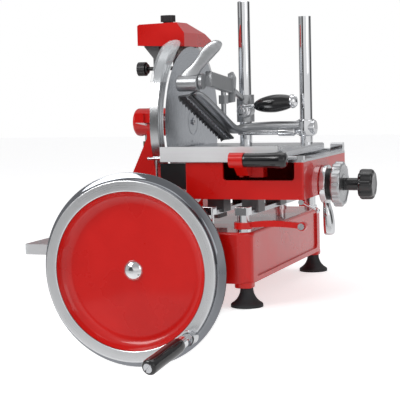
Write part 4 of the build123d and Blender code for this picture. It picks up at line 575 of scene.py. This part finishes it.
# Press arm: one smooth casting behind the gripper that bends into the level arm, its rod, and the hub that slides
# on the right column.
armCasting = {
    "node": "press_arm", "slot": "satin_aluminium", "body": "press", "above": (0, 0.527, 0.85), "power": 0.72,
    "stations": [
        (11, -119.5, 391.5, 8, 3), (18.2, -107, 385, 16.5, 5.4), (33, -50.4, 350, 17.5, 5.8),
        (46, -1, 319.5, 17, 6.4), (62, 24, 317, 13.5, 7), (90, 33, 320.5, 9, 7.6), (130, 35, 322, 8.6, 8),
        (180, 36, 322, 8.6, 8)]}
pressTurnings = {
    "armRod": {"base": (52, 32, 309.5), "axis": (1, 0, 0), "profile": [
        (0, 0), (5, 0, 1), (6, 3, 2), (6, 84), (8.5, 86, 1), (8.5, 118, 1), (6, 120), (0, 120)]},
    "armSleeve": {"base": (166, 57, 317), "axis": (1, 0, 0), "profile": [
        (0, 0), (13, 0, 2), (15, 3, 2), (15, 40, 1), (13.5, 42, 1), (0, 42)]},
    "armHub": {"base": (188, 57, 0), "axis": (0, 0, 1), "profile": [
        (12.55, 300), (15.5, 300, 1), (16.5, 302, 1), (16.5, 332, 1), (15.5, 334, 1), (12.55, 334), (12.55, 300)]},
}
sweptPiece("armCasting", armCasting, castAluminium)
for name, spec in pressTurnings.items():
    turnedPiece(name, {"slot": "satin_aluminium", "body": "press", **spec}, chrome)

# Guard lip: beside the blade's rim on the operator's side. Turns are in degrees up from -Y round the blade's axis:
# station = (x, centreY - radius * cos turn, centreZ + radius * sin turn).
lip = {"x": -35.2, "radius": 153.2, "halfThickness": 1, "halfDepth": 3.6, "fromTurn": -62, "toTurn": 48, "stations": 14}
lipTurns = np.radians(np.linspace(lip["fromTurn"], lip["toTurn"], lip["stations"]))
lipStations = [(lip["x"], bladeCentre[1] - lip["radius"] * math.cos(turn),
                bladeCentre[2] + lip["radius"] * math.sin(turn), lip["halfThickness"], lip["halfDepth"])
               for turn in lipTurns]
sweptPiece("guardLip", {
    "slot": "steel", "body": "machine", "above": (1, 0, 0), "power": 0.5, "steps": 4, "stations": lipStations},
    guardMetal)

# Feed arm: a ring round the drum and a smooth tongue that hangs from it. Stations are given from the arm's front.
feedArm = {"front": 257.4, "inner": 30.1, "outer": 37, "edge": 36, "thick": 12, "body": "ratchet_arm",
           "tongue": [(6, 181, 5.4, 12), (7, 172, 6.5, 14), (9, 158, 8.5, 15.5), (10.5, 140, 9.8, 15.5),
                      (11, 127, 9.8, 15), (11, 120, 8.8, 13.5), (11, 117.4, 6, 9), (11, 117, 0.5, 0.5)]}
ringProfile = [(feedArm["inner"], 0), (feedArm["edge"], 0, 0.8), (feedArm["outer"], 1, 0.8),
               (feedArm["outer"], feedArm["thick"] - 1, 0.8), (feedArm["edge"], feedArm["thick"], 0.8),
               (feedArm["inner"], feedArm["thick"]), (feedArm["inner"], 0)]
turnedPiece("armRing", {
    "node": "feed_arm", "slot": "chrome", "body": feedArm["body"], "axis": (1, 0, 0),
    "base": (feedArm["front"], feedAxis["y"], feedAxis["z"]), "profile": ringProfile}, chrome)
sweptPiece("armTongue", {
    "slot": "chrome", "body": feedArm["body"], "above": (0, 1, 0), "power": 0.7,
    "stations": [(feedArm["front"] + x, feedAxis["y"], z, width, depth) for x, z, width, depth in feedArm["tongue"]]},
    chrome)

# Corner legs: the base's pillars reach a little below its sides, round the necks of the feet. Rings are height
# and half width.
leg = {"x": 147, "y": 232, "rings": [(45.5, 17.2), (40, 17.2), (36.4, 16.9), (35.4, 15.6)]}
legSides = {"legFrontRight": (1, -1), "legFrontLeft": (-1, -1), "legRearRight": (1, 1), "legRearLeft": (-1, 1)}
for name, (sideX, sideY) in legSides.items():
    legStations = [(sideX * leg["x"], sideY * leg["y"], height, half, half) for height, half in leg["rings"]]
    sweptPiece(name, {
        "slot": "red_paint", "body": "machine", "above": (0, 1, 0), "power": 0.62, "steps": 3,
        "stations": legStations}, redPaint)
print("levers, gripper, press arm, guard lip, feed arm and legs made")

# Stage, in metres: a pale bench top that ends behind the wheel, its front and a lower floor. Its glow is stronger
# to the camera than to the object, so that the background stays white and the object isn't lit from below.
stage = {"edgeY": -0.264, "round": 0.012, "roundSteps": 8, "half": 6.0, "drop": 0.9, "front": -6.0, "back": 7.0,
         "low": (0.76, 0.76, 0.76), "high": (0.79, 0.79, 0.79), "glow": 0.25, "cameraGlow": 0.62}


# Section of the bench in the YZ plane, swept along X: top, quarter-round edge, front face, lower floor.
def makeStage():
    section = [(stage["back"], 0.0)]
    for step in range(stage["roundSteps"] + 1):
        turn = math.pi / 2 * step / stage["roundSteps"]
        section.append((stage["edgeY"] + stage["round"] * (1 - math.sin(turn)),
                        -stage["round"] * (1 - math.cos(turn))))
    section += [(stage["edgeY"], -stage["drop"]), (stage["front"], -stage["drop"])]
    vertices = [(side * stage["half"], y, z) for y, z in section for side in (-1, 1)]
    faces = [(2 * i, 2 * i + 1, 2 * i + 3, 2 * i + 2) for i in range(len(section) - 1)]
    mesh = bpy.data.meshes.new("stage")
    mesh.from_pydata(vertices, [], faces)
    floor = bpy.data.objects.new("stageFloor", mesh)
    bpy.context.collection.objects.link(floor)
    material, tree, shader = newMaterial("paleFloor", Roughness=0.6, Emission_Color=(1, 1, 1, 1))
    detail = useGroup(tree, surfaceGroup, {"Grain": 60.0, "Wave": 2.0, "Share": 0.3})
    mottleColour(tree, shader, detail["Mottle"], stage["low"], stage["high"])
    seen = addNode(tree, "ShaderNodeLightPath").outputs["Is Camera Ray"]
    glow = mapRange(tree, seen, 0.0, 1.0, stage["glow"], stage["cameraGlow"])
    tree.links.new(glow, shader.inputs["Emission Strength"])
    mesh.materials.append(material)


makeStage()

# Studio, for reflections only: bands of grey round the horizon, as place in the turn from 0 to 1 and shade, with a
# ceiling above and a floor below. Each pair of directions is where the change starts and ends, as Z of the ray.
studio = {
    "endShade": 0.95, "blue": 1.01, "strength": 0.85,
    "bands": [(0.035, 0.95), (0.05, 0.06), (0.10, 0.06), (0.13, 0.55), (0.21, 0.60), (0.235, 0.10), (0.31, 0.12),
              (0.34, 0.60), (0.40, 0.30), (0.45, 0.58), (0.575, 0.60), (0.60, 0.07), (0.70, 0.07), (0.725, 0.88)],
    "ceiling": (0.50, 0.50, 0.51, 1), "ceilingRise": (0.12, 0.45),
    "floor": (0.42, 0.42, 0.43, 1), "floorFall": (-0.02, -0.25),
}


# White to the camera and through clear parts, and the studio to every other ray. turn = atan2(X, Y) of the ray.
def makeWorld():
    world = bpy.data.worlds.new("studio")
    bpy.context.scene.world = world
    world.use_nodes = True
    tree = world.node_tree
    white = tree.nodes["Background"]
    white.inputs["Color"].default_value = (1, 1, 1, 1)
    direction = addNode(tree, "ShaderNodeTexCoord").outputs["Generated"]
    parts = addNode(tree, "ShaderNodeSeparateXYZ", {0: direction})
    turn = math2(tree, "ARCTAN2", parts.outputs["X"], parts.outputs["Y"])
    bands = addNode(tree, "ShaderNodeValToRGB", {"Fac": mapRange(tree, turn, -math.pi, math.pi)})
    for end, position in zip(bands.color_ramp.elements, (0.0, 1.0)):
        end.position, end.color = position, (studio["endShade"],) * 3 + (1,)
    for position, shade in studio["bands"]:
        bands.color_ramp.elements.new(position).color = (shade, shade, shade * studio["blue"], 1)
    rise = mapRange(tree, parts.outputs["Z"], *studio["ceilingRise"])
    upper = mixColour(tree, rise, bands.outputs[0], studio["ceiling"])
    fall = mapRange(tree, parts.outputs["Z"], *studio["floorFall"])
    lower = mixColour(tree, fall, upper, studio["floor"])
    room = addNode(tree, "ShaderNodeBackground", {"Color": lower, "Strength": studio["strength"]})
    path = addNode(tree, "ShaderNodeLightPath").outputs
    seen = math2(tree, "MAXIMUM", path["Is Camera Ray"], path["Is Transmission Ray"])
    mixed = addNode(tree, "ShaderNodeMixShader", {0: seen, 1: room.outputs[0], 2: white.outputs[0]})
    tree.links.new(mixed.outputs[0], tree.nodes["World Output"].inputs["Surface"])


makeWorld()

# Square lamps: places, aims and sizes in metres, powers in watts.
lights = {
    "key": {"place": (-1.5, -1.9, 1.9), "aim": (0.0, -0.1, 0.2), "size": 1.4, "power": 34},
    "fill": {"place": (2.2, -1.2, 1.1), "aim": (0.0, 0.0, 0.2), "size": 1.4, "power": 5},
    "top": {"place": (0.2, 0.4, 2.2), "aim": (0.0, 0.0, 0.2), "size": 1.8, "power": 10},
}
for name, light in lights.items():
    lamp = bpy.data.lights.new(name, "AREA")
    lamp.size = light["size"]
    lamp.energy = light["power"]
    lampObject = bpy.data.objects.new(name, lamp)
    bpy.context.collection.objects.link(lampObject)
    lampObject.location = light["place"]
    aim = Vector(light["aim"]) - Vector(light["place"])
    lampObject.rotation_euler = aim.to_track_quat("-Z", "Y").to_euler()

# Camera: place in metres, angles in degrees, focal length in pixels of a square picture.
camera = {"place": (0.8948, -2.4682, 0.4109), "yaw": 20.4, "pitch": 5.15, "roll": 1.38,
          "focalPixels": 1296, "imagePixels": 400, "sensorWidth": 36}


# right = (cos yaw, sin yaw, 0), forward = (-sin yaw cos pitch, cos yaw cos pitch, -sin pitch), up = right x forward,
# then right and up are rolled about forward.
def makeCamera():
    yaw, pitch, roll = (math.radians(camera[key]) for key in ("yaw", "pitch", "roll"))
    right = Vector((math.cos(yaw), math.sin(yaw), 0))
    forward = Vector((-math.sin(yaw) * math.cos(pitch), math.cos(yaw) * math.cos(pitch), -math.sin(pitch)))
    up = right.cross(forward)
    across = right * math.cos(roll) - up * math.sin(roll)
    above = right * math.sin(roll) + up * math.cos(roll)
    lens = bpy.data.cameras.new("camera")
    lens.sensor_width = camera["sensorWidth"]
    lens.lens = camera["focalPixels"] / camera["imagePixels"] * lens.sensor_width
    eye = bpy.data.objects.new("camera", lens)
    bpy.context.collection.objects.link(eye)
    matrix = Matrix((across, above, -forward)).transposed().to_4x4()
    matrix.translation = Vector(camera["place"])
    eye.matrix_world = matrix
    bpy.context.scene.camera = eye


makeCamera()
bpy.context.scene.view_settings.view_transform = "Standard"
print("stage, light and camera set")
